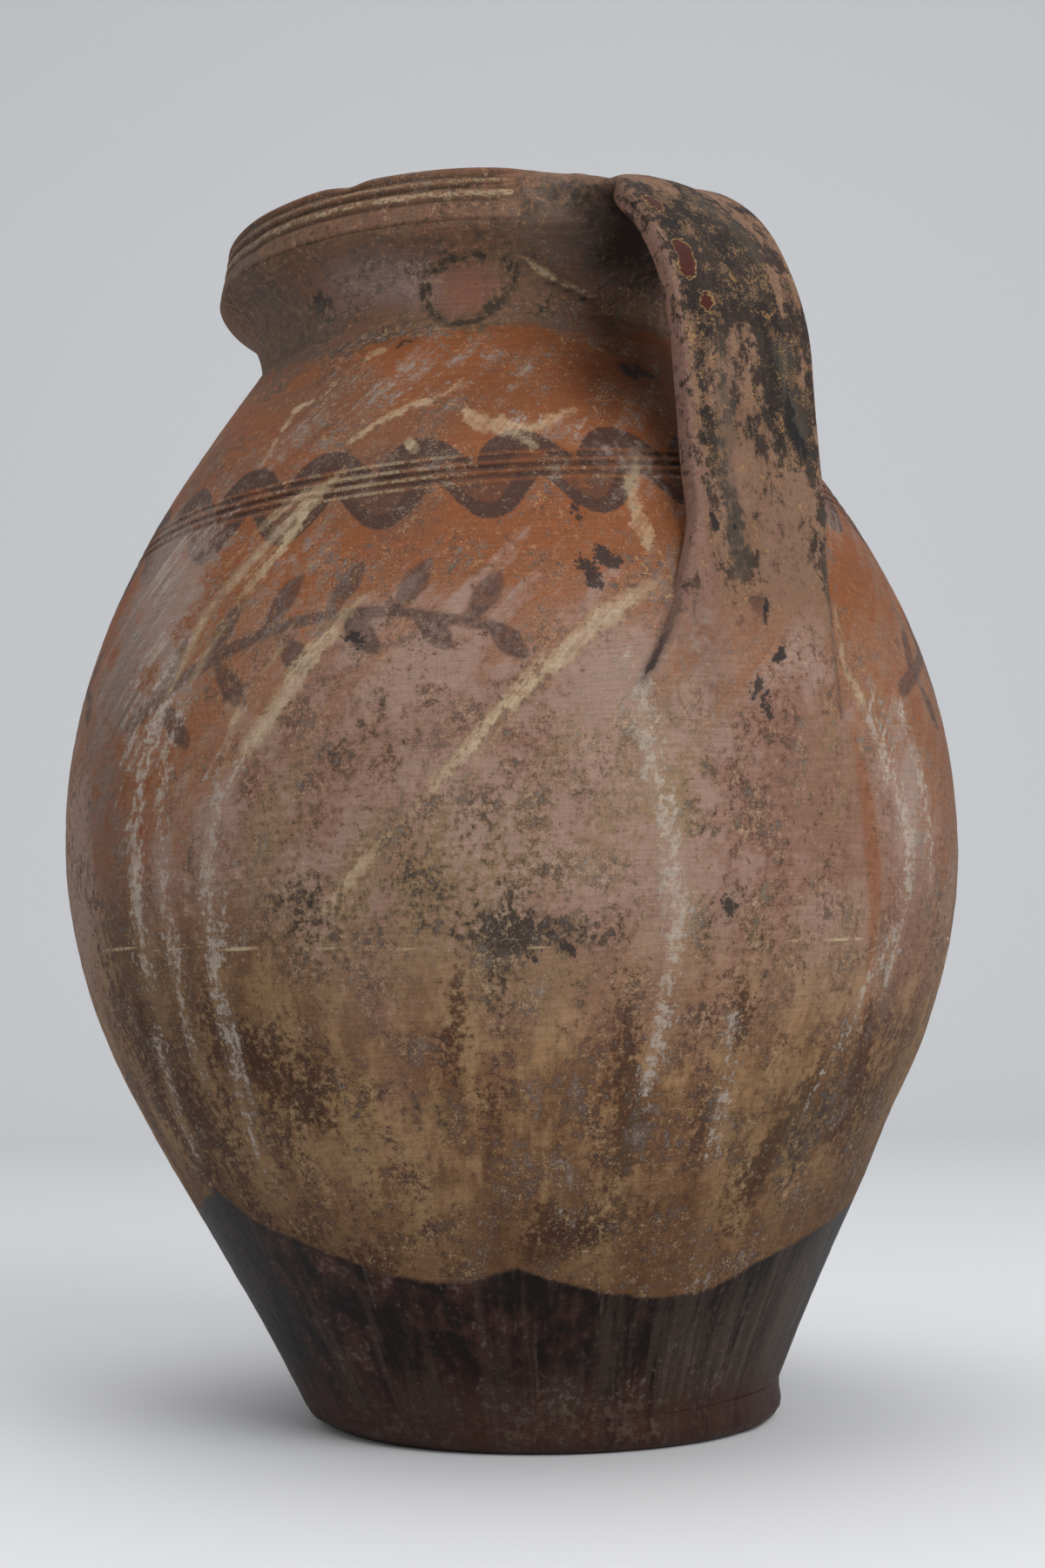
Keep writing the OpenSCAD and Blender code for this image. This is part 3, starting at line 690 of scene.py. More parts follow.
class Value:
    """A shader socket that takes part in Python arithmetic, each step adding a Math node."""

    def __init__(self, graph: "Graph", socket: bpy.types.NodeSocket) -> None:
        """Wraps one output socket of a graph."""
        self.graph = graph
        self.socket = socket

    def __add__(self, other: "Value | float") -> "Value":
        """Sum."""
        return self.graph.maths("ADD", self, other)

    __radd__ = __add__

    def __sub__(self, other: "Value | float") -> "Value":
        """Difference."""
        return self.graph.maths("SUBTRACT", self, other)

    def __rsub__(self, other: float) -> "Value":
        """Difference from a number."""
        return self.graph.maths("SUBTRACT", other, self)

    def __mul__(self, other: "Value | float") -> "Value":
        """Product."""
        return self.graph.maths("MULTIPLY", self, other)

    __rmul__ = __mul__

    def __pow__(self, other: float) -> "Value":
        """Power."""
        return self.graph.maths("POWER", self, other)

    def clamped(self) -> "Value":
        """The value held between 0 and 1."""
        return self.step(0.0, 1.0, "LINEAR")

    def step(self, low: float, high: float, kind: str = "SMOOTHSTEP") -> "Value":
        """0 below low, 1 above high, and an even way between."""
        settings = {"interpolation_type": kind, "clamp": True}
        node = self.graph.node("ShaderNodeMapRange", settings, {0: self, 1: low, 2: high, 3: 0.0, 4: 1.0})
        return Value(self.graph, node.outputs[0])


class Graph:
    """Builds one material's nodes."""

    def __init__(self, name: str) -> None:
        """Starts a material with a bare shader."""
        self.material = bpy.data.materials.new(name)
        self.material.use_nodes = True
        self.tree = self.material.node_tree
        self.tree.nodes.clear()
        self.shader = self.node("ShaderNodeBsdfPrincipled", {}, {})
        out = self.node("ShaderNodeOutputMaterial", {}, {})
        self.tree.links.new(self.shader.outputs[0], out.inputs[0])

    def node(self, kind: str, settings: dict, inputs: dict) -> bpy.types.Node:
        """Adds a node.

        Args:
            kind: the node's type.
            settings: properties that are set before its sockets.
            inputs: number, colour, vector or Value for each socket, by name or index.

        Returns:
            The new node.
        """
        node = self.tree.nodes.new(kind)
        for key, setting in settings.items():
            setattr(node, key, setting)
        for key, source in inputs.items():
            socket = node.inputs[key]
            if isinstance(source, Value):
                self.tree.links.new(source.socket, socket)
            elif isinstance(source, (tuple, list)) and socket.type == "RGBA" and len(source) == 3:
                socket.default_value = (*source, 1.0)
            else:
                socket.default_value = source
        return node

    def maths(self, operation: str, a: "Value | float", b: "Value | float" = 0.0) -> Value:
        """One Math node."""
        node = self.node("ShaderNodeMath", {"operation": operation}, {0: a, 1: b})
        return Value(self, node.outputs[0])

    def mix(self, factor: "Value | float", a: "Value | Colour", b: "Value | Colour", blend: str = "MIX") -> Value:
        """Colour between a and b; a number held in a Value counts as a grey."""
        node = self.node("ShaderNodeMix", {"data_type": "RGBA", "blend_type": blend}, {0: factor, 6: a, 7: b})
        return Value(self, node.outputs[2])

    def attribute(self, name: str) -> Value:
        """A float attribute of the mesh."""
        node = self.node("ShaderNodeAttribute", {"attribute_name": name}, {})
        return Value(self, node.outputs["Fac"])

    def grain(self, across: float = 1.0, along: float = 1.0, name: str = "grain") -> Value:
        """Place in the clay's own frame, or along the drips' flow, stretched across and along the axis."""
        place = self.node("ShaderNodeAttribute", {"attribute_name": name}, {})
        node = self.node("ShaderNodeVectorMath", {"operation": "MULTIPLY"},
                         {0: Value(self, place.outputs["Vector"]), 1: (across, across, along)})
        return Value(self, node.outputs[0])

    def noise(self, place: Value, scale: float, detail: float = 3.0, rough: float = 0.55,
              warp: float = 0.0) -> Value:
        """Fractal noise between 0 and 1."""
        node = self.node("ShaderNodeTexNoise", {"noise_dimensions": "3D"},
                         {"Vector": place, "Scale": scale, "Detail": detail, "Roughness": rough, "Distortion": warp})
        return Value(self, node.outputs["Fac"])

    def finish(self, colour: Value, rough: Value, relief: Value, depth: float) -> bpy.types.Material:
        """Connects colour, roughness and relief to the shader.

        Args:
            colour: base colour.
            rough: roughness.
            relief: height of the fine relief from 0 to 1.
            depth: depth of that relief in metres.

        Returns:
            The finished material.
        """
        links = self.tree.links
        bump = self.node("ShaderNodeBump", {}, {"Height": relief, "Distance": depth, "Strength": 1.0})
        links.new(colour.socket, self.shader.inputs["Base Color"])
        links.new(rough.socket, self.shader.inputs["Roughness"])
        links.new(bump.outputs[0], self.shader.inputs["Normal"])
        self.shader.inputs["Specular IOR Level"].default_value = 0.12
        return self.material


@dataclass
class Weather:
    """The noises that one wall material shares."""

    broad: Value
    mottle: Value
    fleck: Value
    grit: Value
    drift: Value
    flow: Value
    rills: Value
    weave: Value

    @classmethod
    def of(cls, g: Graph) -> "Weather":
        """Makes the noises from the clay's own frame and from the drips' flow."""
        place = g.grain()
        turning = g.noise(g.grain(0.07, 1.0), 1300, 3, 0.6)
        upright = g.noise(g.grain(1.0, 0.12), 1300, 3, 0.6)
        grit = g.noise(place, 1500, 3, 0.75)
        return cls(g.noise(place, 13, 5, 0.6), g.noise(place, 62, 10, 0.74), g.noise(place, 380, 6, 0.75), grit,
                   g.noise(g.grain(1.0, 0.34, "flow"), 46, 9, 0.72), g.noise(g.grain(1.0, 0.16, "flow"), 60, 8, 0.7), g.noise(g.grain(1.0, 0.08, "flow"), 230, 6, 0.7),
                   turning * 0.4 + upright * 0.2 + grit * 0.4)

    def clumps(self, amount: Value, low: float, high: float, rough: float = 1.0) -> Value:
        """Granular mask that grows with an amount and breaks up into grains at its edges."""
        return (amount + (self.mottle - 0.5) * 1.3 + (self.fleck - 0.5) * 2.3 * rough).step(low, high)


@dataclass(frozen=True)
class WallFinish:
    """Finish of the thrown wall: dipped foot, bare belly, slipped shoulder, sooty neck and rim."""

    name: str = "thrown_wall"
    slip: Colour = srgb(132, 77, 44)
    slip_worn: Colour = srgb(112, 76, 56)
    slip_pink: Colour = srgb(144, 108, 86)
    belly: Colour = srgb(150, 122, 108)
    belly_red: Colour = srgb(132, 98, 82)
    russet: Colour = srgb(114, 78, 56)
    tan: Colour = srgb(138, 112, 84)
    ochre: Colour = srgb(112, 80, 55)
    ochre_pale: Colour = srgb(149, 118, 85)
    ochre_dark: Colour = srgb(66, 43, 29)
    dust_and_shade_grey: Colour = srgb(96, 86, 80)
    painted_shade: Colour = srgb(132, 118, 108)
    ring_pink: Colour = srgb(134, 88, 74)
    halo: Colour = srgb(112, 76, 44)
    halo_dark: Colour = srgb(84, 55, 34)
    neck: Colour = srgb(114, 88, 70)
    neck_dark: Colour = srgb(70, 53, 38)
    mauve: Colour = srgb(138, 116, 112)
    film: Colour = srgb(160, 142, 132)
    shade_and_soot_black: Colour = srgb(30, 19, 13)
    neck_red: Colour = srgb(118, 84, 66)
    dip: Colour = srgb(22, 14, 12)
    dip_red: Colour = srgb(64, 38, 31)
    dip_grey: Colour = srgb(58, 47, 40)
    dip_pale: Colour = srgb(84, 72, 62)
    brush: Colour = srgb(66, 46, 40)
    faded: Colour = srgb(72, 56, 52)
    lime: Colour = srgb(188, 166, 134)
    chalk: Colour = srgb(180, 166, 152)
    olive: Colour = srgb(90, 76, 58)
    soot: Colour = srgb(50, 44, 42)
    black: Colour = srgb(34, 34, 36)
    speck: Colour = srgb(66, 48, 40)
    stain: Colour = srgb(66, 40, 27)
    inside: Colour = srgb(120, 88, 70)
    inside_dark: Colour = srgb(84, 62, 50)

    def clay(self, g: Graph, w: Weather) -> Value:
        """Colour of the bare and slipped clay, by height, with painted shade under the rim band and in soft patches."""
        height = g.attribute("height")
        level = height + (w.broad - 0.5) * 0.06 + (w.mottle - 0.5) * 0.06 - g.attribute("low") * 0.030
        belly = g.mix((w.mottle * 0.4 + w.broad * 0.6).step(0.46, 0.56), self.belly, self.belly_red)
        belly = g.mix(w.clumps((w.rills - 0.5) * 1.4, 0.10, 0.34) * 0.45, belly, self.belly_red)
        belly = g.mix(w.clumps(g.attribute("low") * 0.5 + (w.drift - 0.5) * 0.8, 0.0, 0.5) * 0.65, belly, self.russet)
        belly = g.mix(w.clumps(g.attribute("tan") * 0.46 + (w.flow - 0.5) * 1.6, 0.14, 0.46) * 0.85, belly, self.tan)
        slip = g.mix(w.broad.step(0.46, 0.64), self.slip, self.slip_worn)
        low_slip = 1 - height.step(0.250, 0.296)
        slip = g.mix(w.clumps((w.flow - 0.5) * 1.4 + low_slip * 0.34, 0.06, 0.34) * 0.62, slip, self.slip_pink)
        ochre = g.mix((w.drift * 0.6 + w.mottle * 0.4).step(0.42, 0.55), self.ochre_pale, self.ochre)
        ochre = g.mix(w.clumps((0.5 - w.flow) * 2.0 + (w.broad - 0.5) * 1.2, 0.14, 0.44) * 0.6, ochre, self.belly_red)
        ochre = g.mix(w.clumps((w.drift - 0.5) * 2.6 + (w.broad - 0.5) * 0.8, 0.16, 0.48) * 0.85, ochre, self.ochre_dark)
        ochre = g.mix(((w.grit - 0.5) * 1.5 + (w.fleck - 0.5) * 1.5 + (w.mottle - 0.5)).step(0.10, 0.22) * 0.55, ochre, self.ochre_dark)
        above = (g.attribute("slip") + (w.broad - 0.5) * 0.05 + (w.mottle - 0.5) * 0.10 + (w.flow - 0.5) * 0.16).step(-0.016, 0.016)
        colour = g.mix(above, belly, slip)
        colour = g.mix(level.step(0.116, 0.176), ochre, colour)
        blush = w.clumps(g.attribute("mauve") * 0.6 + (w.drift - 0.5) * 0.8 - 0.1, -0.04, 0.50, 0.8)
        colour = g.mix(blush * 0.55, colour, self.belly_red)
        neck = g.mix((w.mottle * 0.5 + w.broad * 0.5).step(0.44, 0.56), self.neck, self.neck_red)
        neck = g.mix(w.clumps((w.rills - 0.5) * 1.2, 0.02, 0.34) * 0.75, neck, self.neck_dark)
        shadow = g.attribute("rim").step(-0.016, -0.001) * (1 - g.attribute("rim").step(0.0, 0.002))
        neck = g.mix(w.clumps(shadow * 0.30, 0.16, 0.44) * 0.7, neck, self.neck_dark)
        neck = g.mix(w.clumps((w.broad - 0.5) * 2.0 + shadow * 0.16, 0.24, 0.50) * 0.55, neck, self.tan)
        neck = g.mix(w.clumps(g.attribute("mauve") * 0.6 - 0.1, -0.10, 0.60, 0.6) * 0.70, neck, self.mauve)
        colour = g.mix((height + (w.mottle - 0.5) * 0.02).step(0.3645, 0.3685), colour, neck)
        colour = g.mix(((g.attribute("orange") + (w.fleck - 0.5) * 0.004 + (w.mottle - 0.5) * 0.012) * -1000)
                       .step(-2.2, 1.6) * 0.6, colour, self.slip)
        near_dip = 1 - (g.attribute("dip") + (w.broad - 0.5) * 0.04).step(0.0, 0.034)
        colour = g.mix(near_dip * 0.65, colour, self.halo_dark)
        # Painted shade: soft patches multiply the clay towards a darker brown.
        return g.mix(g.attribute("painted_shade").clamped() * 0.85, colour, g.mix(1.0, colour, self.painted_shade, "MULTIPLY"))

    def rim(self, g: Graph, w: Weather, colour: Value) -> Value:
        """Turned rim band: painted shade in the grooves, pale painted highlights along two ridges broken into lime
        specks, and a redder lip.
        """
        level = g.attribute("rim") + (w.mottle - 0.5) * 0.006
        # Painted shade in the turned grooves.
        colour = g.mix(g.attribute("groove_shade").clamped() * 0.85, colour, self.neck_dark)
        # Painted highlights: pale lines along two ridges, broken into lime specks.
        ridge = level.step(0.0088, 0.0098) * (1 - level.step(0.0106, 0.0116)) * w.clumps(w.broad * 0.7, 0.26, 0.44)
        colour = g.mix(ridge * 0.7, colour, self.lime)
        upper = level.step(0.0140, 0.0146) * (1 - level.step(0.0150, 0.0158)) * w.clumps(w.broad * 0.7, 0.30, 0.48)
        colour = g.mix(upper * 0.45, colour, self.lime)
        return g.mix(level.step(0.0168, 0.0185) * 0.45, colour, self.slip_worn)

    def painting(self, g: Graph, w: Weather, colour: Value) -> Value:
        """Wave band, its wash, the combed lines and the faded branch."""
        ragged = (w.fleck - 0.5) * 0.0024 + (w.mottle - 0.5) * 0.0030
        wash = w.clumps(g.attribute("wash") * 0.8, 0.05, 0.62, 0.6)
        stroke = ((g.attribute("wave") + ragged) * -1000).step(-0.3, 0.4)
        worn = 1 - w.clumps((w.broad - 0.5) * 0.9, 0.20, 0.40) * 0.5
        colour = g.mix(g.maths("MAXIMUM", stroke * worn * 0.92, wash * worn * 0.68), colour, self.brush)
        away = (g.attribute("comb") + ragged * 0.2) * 1000
        ridge = away.step(0.8, 1.3) * (1 - away.step(1.9, 2.5))
        limed = w.clumps((w.broad - 0.5) * 1.6, 0.03, 0.22)
        colour = g.mix(ridge * (0.40 - 0.40 * limed), colour, self.slip)
        colour = g.mix(ridge * limed * 0.50, colour, self.lime)
        # Painted shade in the bottoms of the combed lines.
        colour = g.mix((1 - away.step(0.4, 0.95)) * 0.30, colour, self.brush)
        branch = ((g.attribute("sprig") + ragged * 1.4) * -1000).step(-0.5, 0.9)
        rubbed = w.clumps((w.flow - 0.5) * 0.8, -0.14, 0.12)
        return g.mix(branch * (0.60 + 0.25 * rubbed), colour, self.faded)

    def deposits(self, g: Graph, w: Weather, colour: Value) -> Value:
        """Soot in granular clumps, specks, lime in drips and veins, and black flakes."""
        soot = g.attribute("soot")
        colour = g.mix(w.clumps(soot * 0.32, 0.16, 0.56) * 0.62, colour, self.olive)
        colour = g.mix(w.clumps(soot * 0.26, 0.38, 0.52) * 0.85, colour, self.soot)
        dark = ((w.grit - 0.5) * 1.3 + (w.fleck - 0.5) * 0.9 + (w.mottle - 0.5) * 0.9).step(0.11, 0.19)
        colour = g.mix(dark * 0.7, colour, self.speck)
        pale = ((0.5 - w.grit) * 0.9 + (0.5 - w.fleck) * 0.9 + (w.mottle - 0.5) * 0.5).step(0.10, 0.18)
        colour = g.mix(pale * 0.42, colour, self.lime)
        veil = w.clumps(g.attribute("veil") * 0.34 + (w.rills - 0.5) * 1.2 + (w.flow - 0.5) * 0.8, 0.30, 0.66)
        colour = g.mix(veil * 0.55, colour, self.chalk)
        haze = w.clumps(g.attribute("haze") * 0.5 + (w.drift - 0.5) * 1.0 + (w.flow - 0.5) * 0.8, 0.10, 0.62, 0.6)
        colour = g.mix(haze * 0.62, colour, self.film)
        # Grey dust, and painted shade darkening the left side.
        dust_and_shade = w.clumps(g.attribute("dust_and_shade") * 0.5, 0.10, 0.60, 0.5)
        colour = g.mix(dust_and_shade * 0.55, colour, self.dust_and_shade_grey)
        edge = (g.attribute("drip") + (w.fleck - 0.5) * 0.010 + (w.mottle - 0.5) * 0.016 + (w.rills - 0.5) * 0.014) * -1000
        gaps = (0.35 + 0.65 * (w.fleck * 0.5 + w.rills * 0.5).step(0.43, 0.53)) * (0.72 + 0.28 * w.broad.step(0.44, 0.56))
        colour = g.mix(edge.step(-1.8, 0.2) * 0.30, colour, self.halo)
        colour = g.mix(edge.step(-1.4, 1.2) * gaps * 0.80, colour, self.lime)
        colour = g.mix(edge.step(0.6, 2.2) * gaps * 0.40, colour, self.chalk)
        milk = g.attribute("milk") * -1000
        grains = w.clumps(milk * 0.075 + (w.rills - 0.5) * 1.2 + (w.flow - 0.5) * 0.6, -0.10, 0.34, 1.3) * milk.step(-7.0, -1.0)
        colour = g.mix(grains * 0.72, colour, self.chalk)
        where = g.attribute("runs")
        runs = w.clumps(where * 0.46 + (w.rills - 0.5) * 1.6 + (w.flow - 0.5) * 1.6, 0.38, 0.62, 0.5) * where.step(0.0, 0.4)
        colour = g.mix(runs * 0.62, colour, self.chalk)
        edge = (g.attribute("vein") + (w.fleck - 0.5) * 0.006 + (w.mottle - 0.5) * 0.016) * -1000
        colour = g.mix(edge.step(-0.8, 0.7) * gaps * 0.66, colour, self.lime)
        colour = g.mix(g.attribute("pink") * w.clumps(0.3, -0.2, 0.2) * 0.7, colour, self.ring_pink)
        ring = w.clumps((g.attribute("ring") * -1000 + 1.2) * 0.16, 0.02, 0.30)
        colour = g.mix(ring * 0.72, colour, self.olive)
        colour = g.mix(w.clumps((g.attribute("ring") * -1000) * 0.20, 0.10, 0.30) * 0.7, colour, self.soot)
        # Painted shadow: a dark line along each crease, in the soot colour.
        crease = (g.attribute("crease") + (w.mottle - 0.5) * 0.004) * -1000
        # Painted shadow, with some soot, nearly black in the hollow under the strap's root.
        colour = g.mix(w.clumps(g.attribute("root_shade_and_soot") * 0.6, 0.06, 0.72, 0.5) * 0.78, colour, self.shade_and_soot_black)
        colour = g.mix(crease.step(-2.4, 0.2) * 0.35 + crease.step(-0.3, 0.4) * 0.55, colour, self.soot)
        # Painted highlight: a pale line, in the lime colour, along the top of the neck's crease.
        line = ((g.attribute("line") + (w.mottle - 0.5) * 0.003) * -1000).step(-0.5, 0.4)
        colour = g.mix(line * w.fleck.step(0.40, 0.50) * 0.6, colour, self.lime)
        flake = ((g.attribute("black") + (w.fleck - 0.5) * 0.016 + (w.mottle - 0.5) * 0.016) * -1000).step(-0.2, 0.3)
        return g.mix(flake * 0.85, colour, self.black)

    def foot(self, g: Graph, w: Weather, colour: Value, dipped: Value) -> Value:
        """Dark dip of the foot with red and grey patches, and lime low down."""
        height = g.attribute("height")
        dip = g.mix((w.mottle * 0.4 + w.broad * 0.4 + w.flow * 0.2).step(0.50, 0.60), self.dip, self.dip_red)
        worn = g.attribute("veil")
        dip = g.mix((1 - height.step(0.016, 0.034)) * w.drift.step(0.42, 0.54) * 0.8, dip, self.dip_red)
        streaks = (w.flow - 0.5) * 2.6 + (w.drift - 0.5) * 1.2 + (w.fleck - 0.5) * 0.7
        dip = g.mix((streaks + worn * 0.36).step(0.02, 0.40) * 0.8, dip, self.dip_grey)
        dip = g.mix(((w.rills - 0.5) * 2.0 + (w.fleck - 0.5) + worn * 0.20).step(0.16, 0.42) * 0.45, dip, self.dip_pale)
        low = 1 - height.step(0.006, 0.030)
        dip = g.mix(w.clumps(low * 0.28 + (w.broad - 0.5) * 1.8, 0.30, 0.66) * 0.14, dip, self.chalk)
        dip = g.mix((1 - height.step(0.010, 0.024)) * 0.5, dip, self.dip_red)
        return g.mix(dipped, dip, colour)

    def surface(self, g: Graph, w: Weather) -> tuple[Value, Value, Value]:
        """Colour, roughness and relief of the wall."""
        height = g.attribute("height")
        colour = self.clay(g, w)
        colour = g.mix(w.clumps(g.attribute("stain") * 0.42 + (w.broad - 0.5) * 0.8, 0.16, 0.52) * 0.8, colour, self.stain)
        streak = g.attribute("streak") * -1000
        colour = g.mix(w.clumps(streak * 0.08 + (w.drift - 0.5) * 1.0, -0.14, 0.34, 1.2) * streak.step(-10.0, -2.0) * 0.82, colour,
                       self.stain)
        colour = self.rim(g, w, self.painting(g, w, colour))
        colour = self.deposits(g, w, colour)
        scratch = 1 - (g.attribute("scratch") + (w.broad - 0.5) * 0.002).step(0.0002, 0.0007)
        colour = g.mix(scratch * w.flow.step(0.46, 0.54) * 0.7, colour, self.lime)
        edge = g.attribute("dip") + (w.fleck - 0.5) * 0.0024 + (w.mottle - 0.5) * 0.006
        dipped = edge.step(-0.0008, 0.0012)
        colour = self.foot(g, w, colour, dipped)
        inside = g.mix((w.mottle * 0.5 + w.broad * 0.5).step(0.44, 0.58), self.inside, self.inside_dark)
        colour = g.mix(g.attribute("inner"), colour, inside)
        shade = g.mix(w.weave.step(0.40, 0.60), (0.62, 0.62, 0.62), (1.18, 1.18, 1.18))
        colour = g.mix(0.45, colour, shade, "MULTIPLY")
        glaze = g.attribute("slip").step(-0.01, 0.02) * (1 - height.step(0.36, 0.37))
        rough = 0.68 + (w.fleck - 0.5) * 0.4 - glaze * 0.14 - (1 - dipped) * 0.2
        relief = w.fleck * 0.4 + w.grit * 0.10 + w.weave * 0.10 + w.mottle * 0.5
        return colour, rough, relief

    def material(self) -> bpy.types.Material:
        """Builds the wall's material."""
        g = Graph(self.name)
        return g.finish(*self.surface(g, Weather.of(g)), 0.0010)


@dataclass(frozen=True)
class StrapFinish(WallFinish):
    """Finish of the strap: streaked and sooty above, the wall's own finish where it is smeared out."""

    name: str = "strap_clay"
    pale: Colour = srgb(134, 104, 86)
    pink: Colour = srgb(146, 112, 100)
    bare: Colour = srgb(120, 89, 71)
    ash: Colour = srgb(88, 70, 58)
    gold: Colour = srgb(178, 140, 92)
    gloss: Colour = srgb(74, 32, 24)
    char: Colour = srgb(38, 35, 34)
    lichen: Colour = srgb(84, 77, 68)

    def material(self) -> bpy.types.Material:
        """Builds the strap's material from two surfaces, mixed by how far the strap is smeared out."""
        g = Graph(self.name)
        w = Weather.of(g)
        wall_colour, wall_rough, wall_relief = self.surface(g, w)
        lay = g.grain(1.0, 1.0, "lay")
        streak = g.noise(g.grain(1.0, 0.30, "lay"), 90, 9, 0.74)
        mottle = g.noise(lay, 130, 9, 0.78)
        grains = (streak - 0.5) * 2.8 + (mottle - 0.5) * 1.7 + (w.fleck - 0.5) * 1.1
        colour = g.mix((streak * 0.5 + w.broad * 0.5).step(0.46, 0.56), self.pale, self.bare)
        # Painted highlight: paler pink along the strap's edges.
        colour = g.mix(g.attribute("edge") * 0.8, colour, self.pink)
        soot = g.attribute("strap_soot")
        colour = g.mix((grains * 0.7 + (w.broad - 0.5)).step(0.06, 0.22) * 0.5, colour, self.belly_red)
        sooty = soot * 0.62 + grains
        colour = g.mix(sooty.step(0.18, 0.36) * 0.70, colour, self.ash)
        colour = g.mix(sooty.step(0.28, 0.42) * 0.86, colour, self.soot)
        colour = g.mix(((sooty - 0.08) + (w.broad - 0.5) * 2.0).step(0.44, 0.56) * 0.8, colour, self.char)
        torn = (0.5 - mottle) * 2.0 + (0.5 - w.fleck) * 1.4 + (w.broad - 0.5) * 0.8
        colour = g.mix(torn.step(0.11, 0.19) * 0.60, colour, self.bare)
        grey = g.attribute("strap_grey") * -1000
        colour = g.mix((grey * 0.09 + grains * 0.8).step(-0.24, 0.34) * grey.step(-8.0, -1.0) * 0.72, colour, self.lichen)
        rim = torn.step(0.05, 0.09) * (1 - torn.step(0.10, 0.14)) * w.grit.step(0.47, 0.53) * soot.clamped()
        flecks = ((w.fleck - 0.5) * 1.3 + (w.grit - 0.5) * 0.9 - (mottle - 0.5) * 0.8).step(0.17, 0.23)
        colour = g.mix(g.maths("MAXIMUM", rim, flecks) * 0.75, colour, self.gold)
        dark = ((w.grit - 0.5) * 0.9 + (w.fleck - 0.5) * 0.9 + (mottle - 0.5) * 0.9).step(0.07, 0.14)
        colour = g.mix(dark * 0.6, colour, self.speck)
        spot = (g.attribute("spot") + (w.fleck - 0.5) * 0.005 + (mottle - 0.5) * 0.005) * 1000
        colour = g.mix((1 - spot.step(0.2, 0.5)) * (0.3 + 0.7 * w.grit.step(0.45, 0.52)), colour, self.gold)
        gloss = 1 - spot.step(-0.3, 0.1)
        colour = g.mix(gloss, colour, self.gloss)
        black = ((g.attribute("strap_black") + (w.fleck - 0.5) * 0.005 + (mottle - 0.5) * 0.012) * -1000).step(-0.2, 0.3)
        shade = g.mix(w.grit.step(0.36, 0.60), (0.74, 0.74, 0.74), (1.14, 1.14, 1.14))
        colour = g.mix(0.5, colour, shade, "MULTIPLY")
        foot = (g.attribute("foot") * 1.3 - 0.15 + (mottle - 0.5) * 1.4).clamped()
        rough = g.mix(foot, 0.66 + (w.fleck - 0.5) * 0.4 - gloss * 0.4, wall_rough)
        relief = g.mix(foot, grains * 0.45 + 0.4 - gloss * 0.2, wall_relief)
        colour = g.mix(black * 0.9, g.mix(foot, colour, wall_colour), self.black)
        return g.finish(colour, rough, relief, 0.0012)


WALL = WallFinish()
STRAP = StrapFinish()


class Maker:
    """Turns finished bmeshes into objects of the frame and remembers them."""

    def __init__(self) -> None:
        """Starts with nothing made."""
        self.materials: dict[str, bpy.types.Material] = {}
        self.made: list[bpy.types.Object] = []

    def material(self, finish: WallFinish) -> bpy.types.Material:
        """The material of a finish, made once."""
        if finish.name not in self.materials:
            self.materials[finish.name] = finish.material()
        return self.materials[finish.name]

    def piece(self, name: str, bm: bmesh.types.BMesh, finish: WallFinish, slot: Slot,
              nodes: Sequence[str]) -> bpy.types.Object:
        """Makes an object from a shape in millimetres on the throwing axis.

        Args:
            name: the piece's name.
            bm: the shape; it is freed.
            finish: what it is dressed in.
            slot: the record's slot; it is not used.
            nodes: the frame's nodes that it stands for.

        Returns:
            The new object.
        """
        mesh = bpy.data.meshes.new(name)
        places = np.array([tuple(v.co) for v in bm.verts])
        inside = bm.verts.layers.float.get("inside")
        inner = np.array([v[inside] if inside else 0.0 for v in bm.verts])
        bm.to_mesh(mesh)
        bm.free()
        layer = mesh.attributes.new("grain", "FLOAT_VECTOR", "POINT")
        layer.data.foreach_set("vector", (places * MM).astype(np.float32).ravel())
        paint_fields(mesh, places, inner)
        mesh.transform(STANCE)
        mesh.shade_smooth()
        mesh.set_sharp_from_angle(angle=CORNER)
        mesh.materials.append(self.material(finish))
        obj = bpy.data.objects.new(name, mesh)
        bpy.context.scene.collection.objects.link(obj)
        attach(obj, "root")
        if nodes:
            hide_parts(*nodes)
        self.made.append(obj)
        log.info("%s: %d faces", name, len(mesh.polygons))
        return obj


def thrown(outline: Outline, steps: int, closed: bool = True) -> bmesh.types.BMesh:
    """Turned piece with the potter's unevenness, relief and tilted rim."""
    bm = spin(outline.points, steps, closed)
    index = bm.verts.layers.int["profile"]
    inside = bm.verts.layers.float.new("inside")
    for vert in bm.verts:
        vert[inside] = 0.0 if outline.outer[vert[index]] else 1.0
        radius = math.hypot(vert.co.x, vert.co.y)
        if radius < 1e-3:
            continue
        angle = math.atan2(vert.co.y, vert.co.x)
        new_radius, new_height = throw(angle, vert.co.z, radius, outline.outer[vert[index]])
        vert.co = (new_radius * math.cos(angle), new_radius * math.sin(angle), new_height)
    bm.normal_update()
    return bm


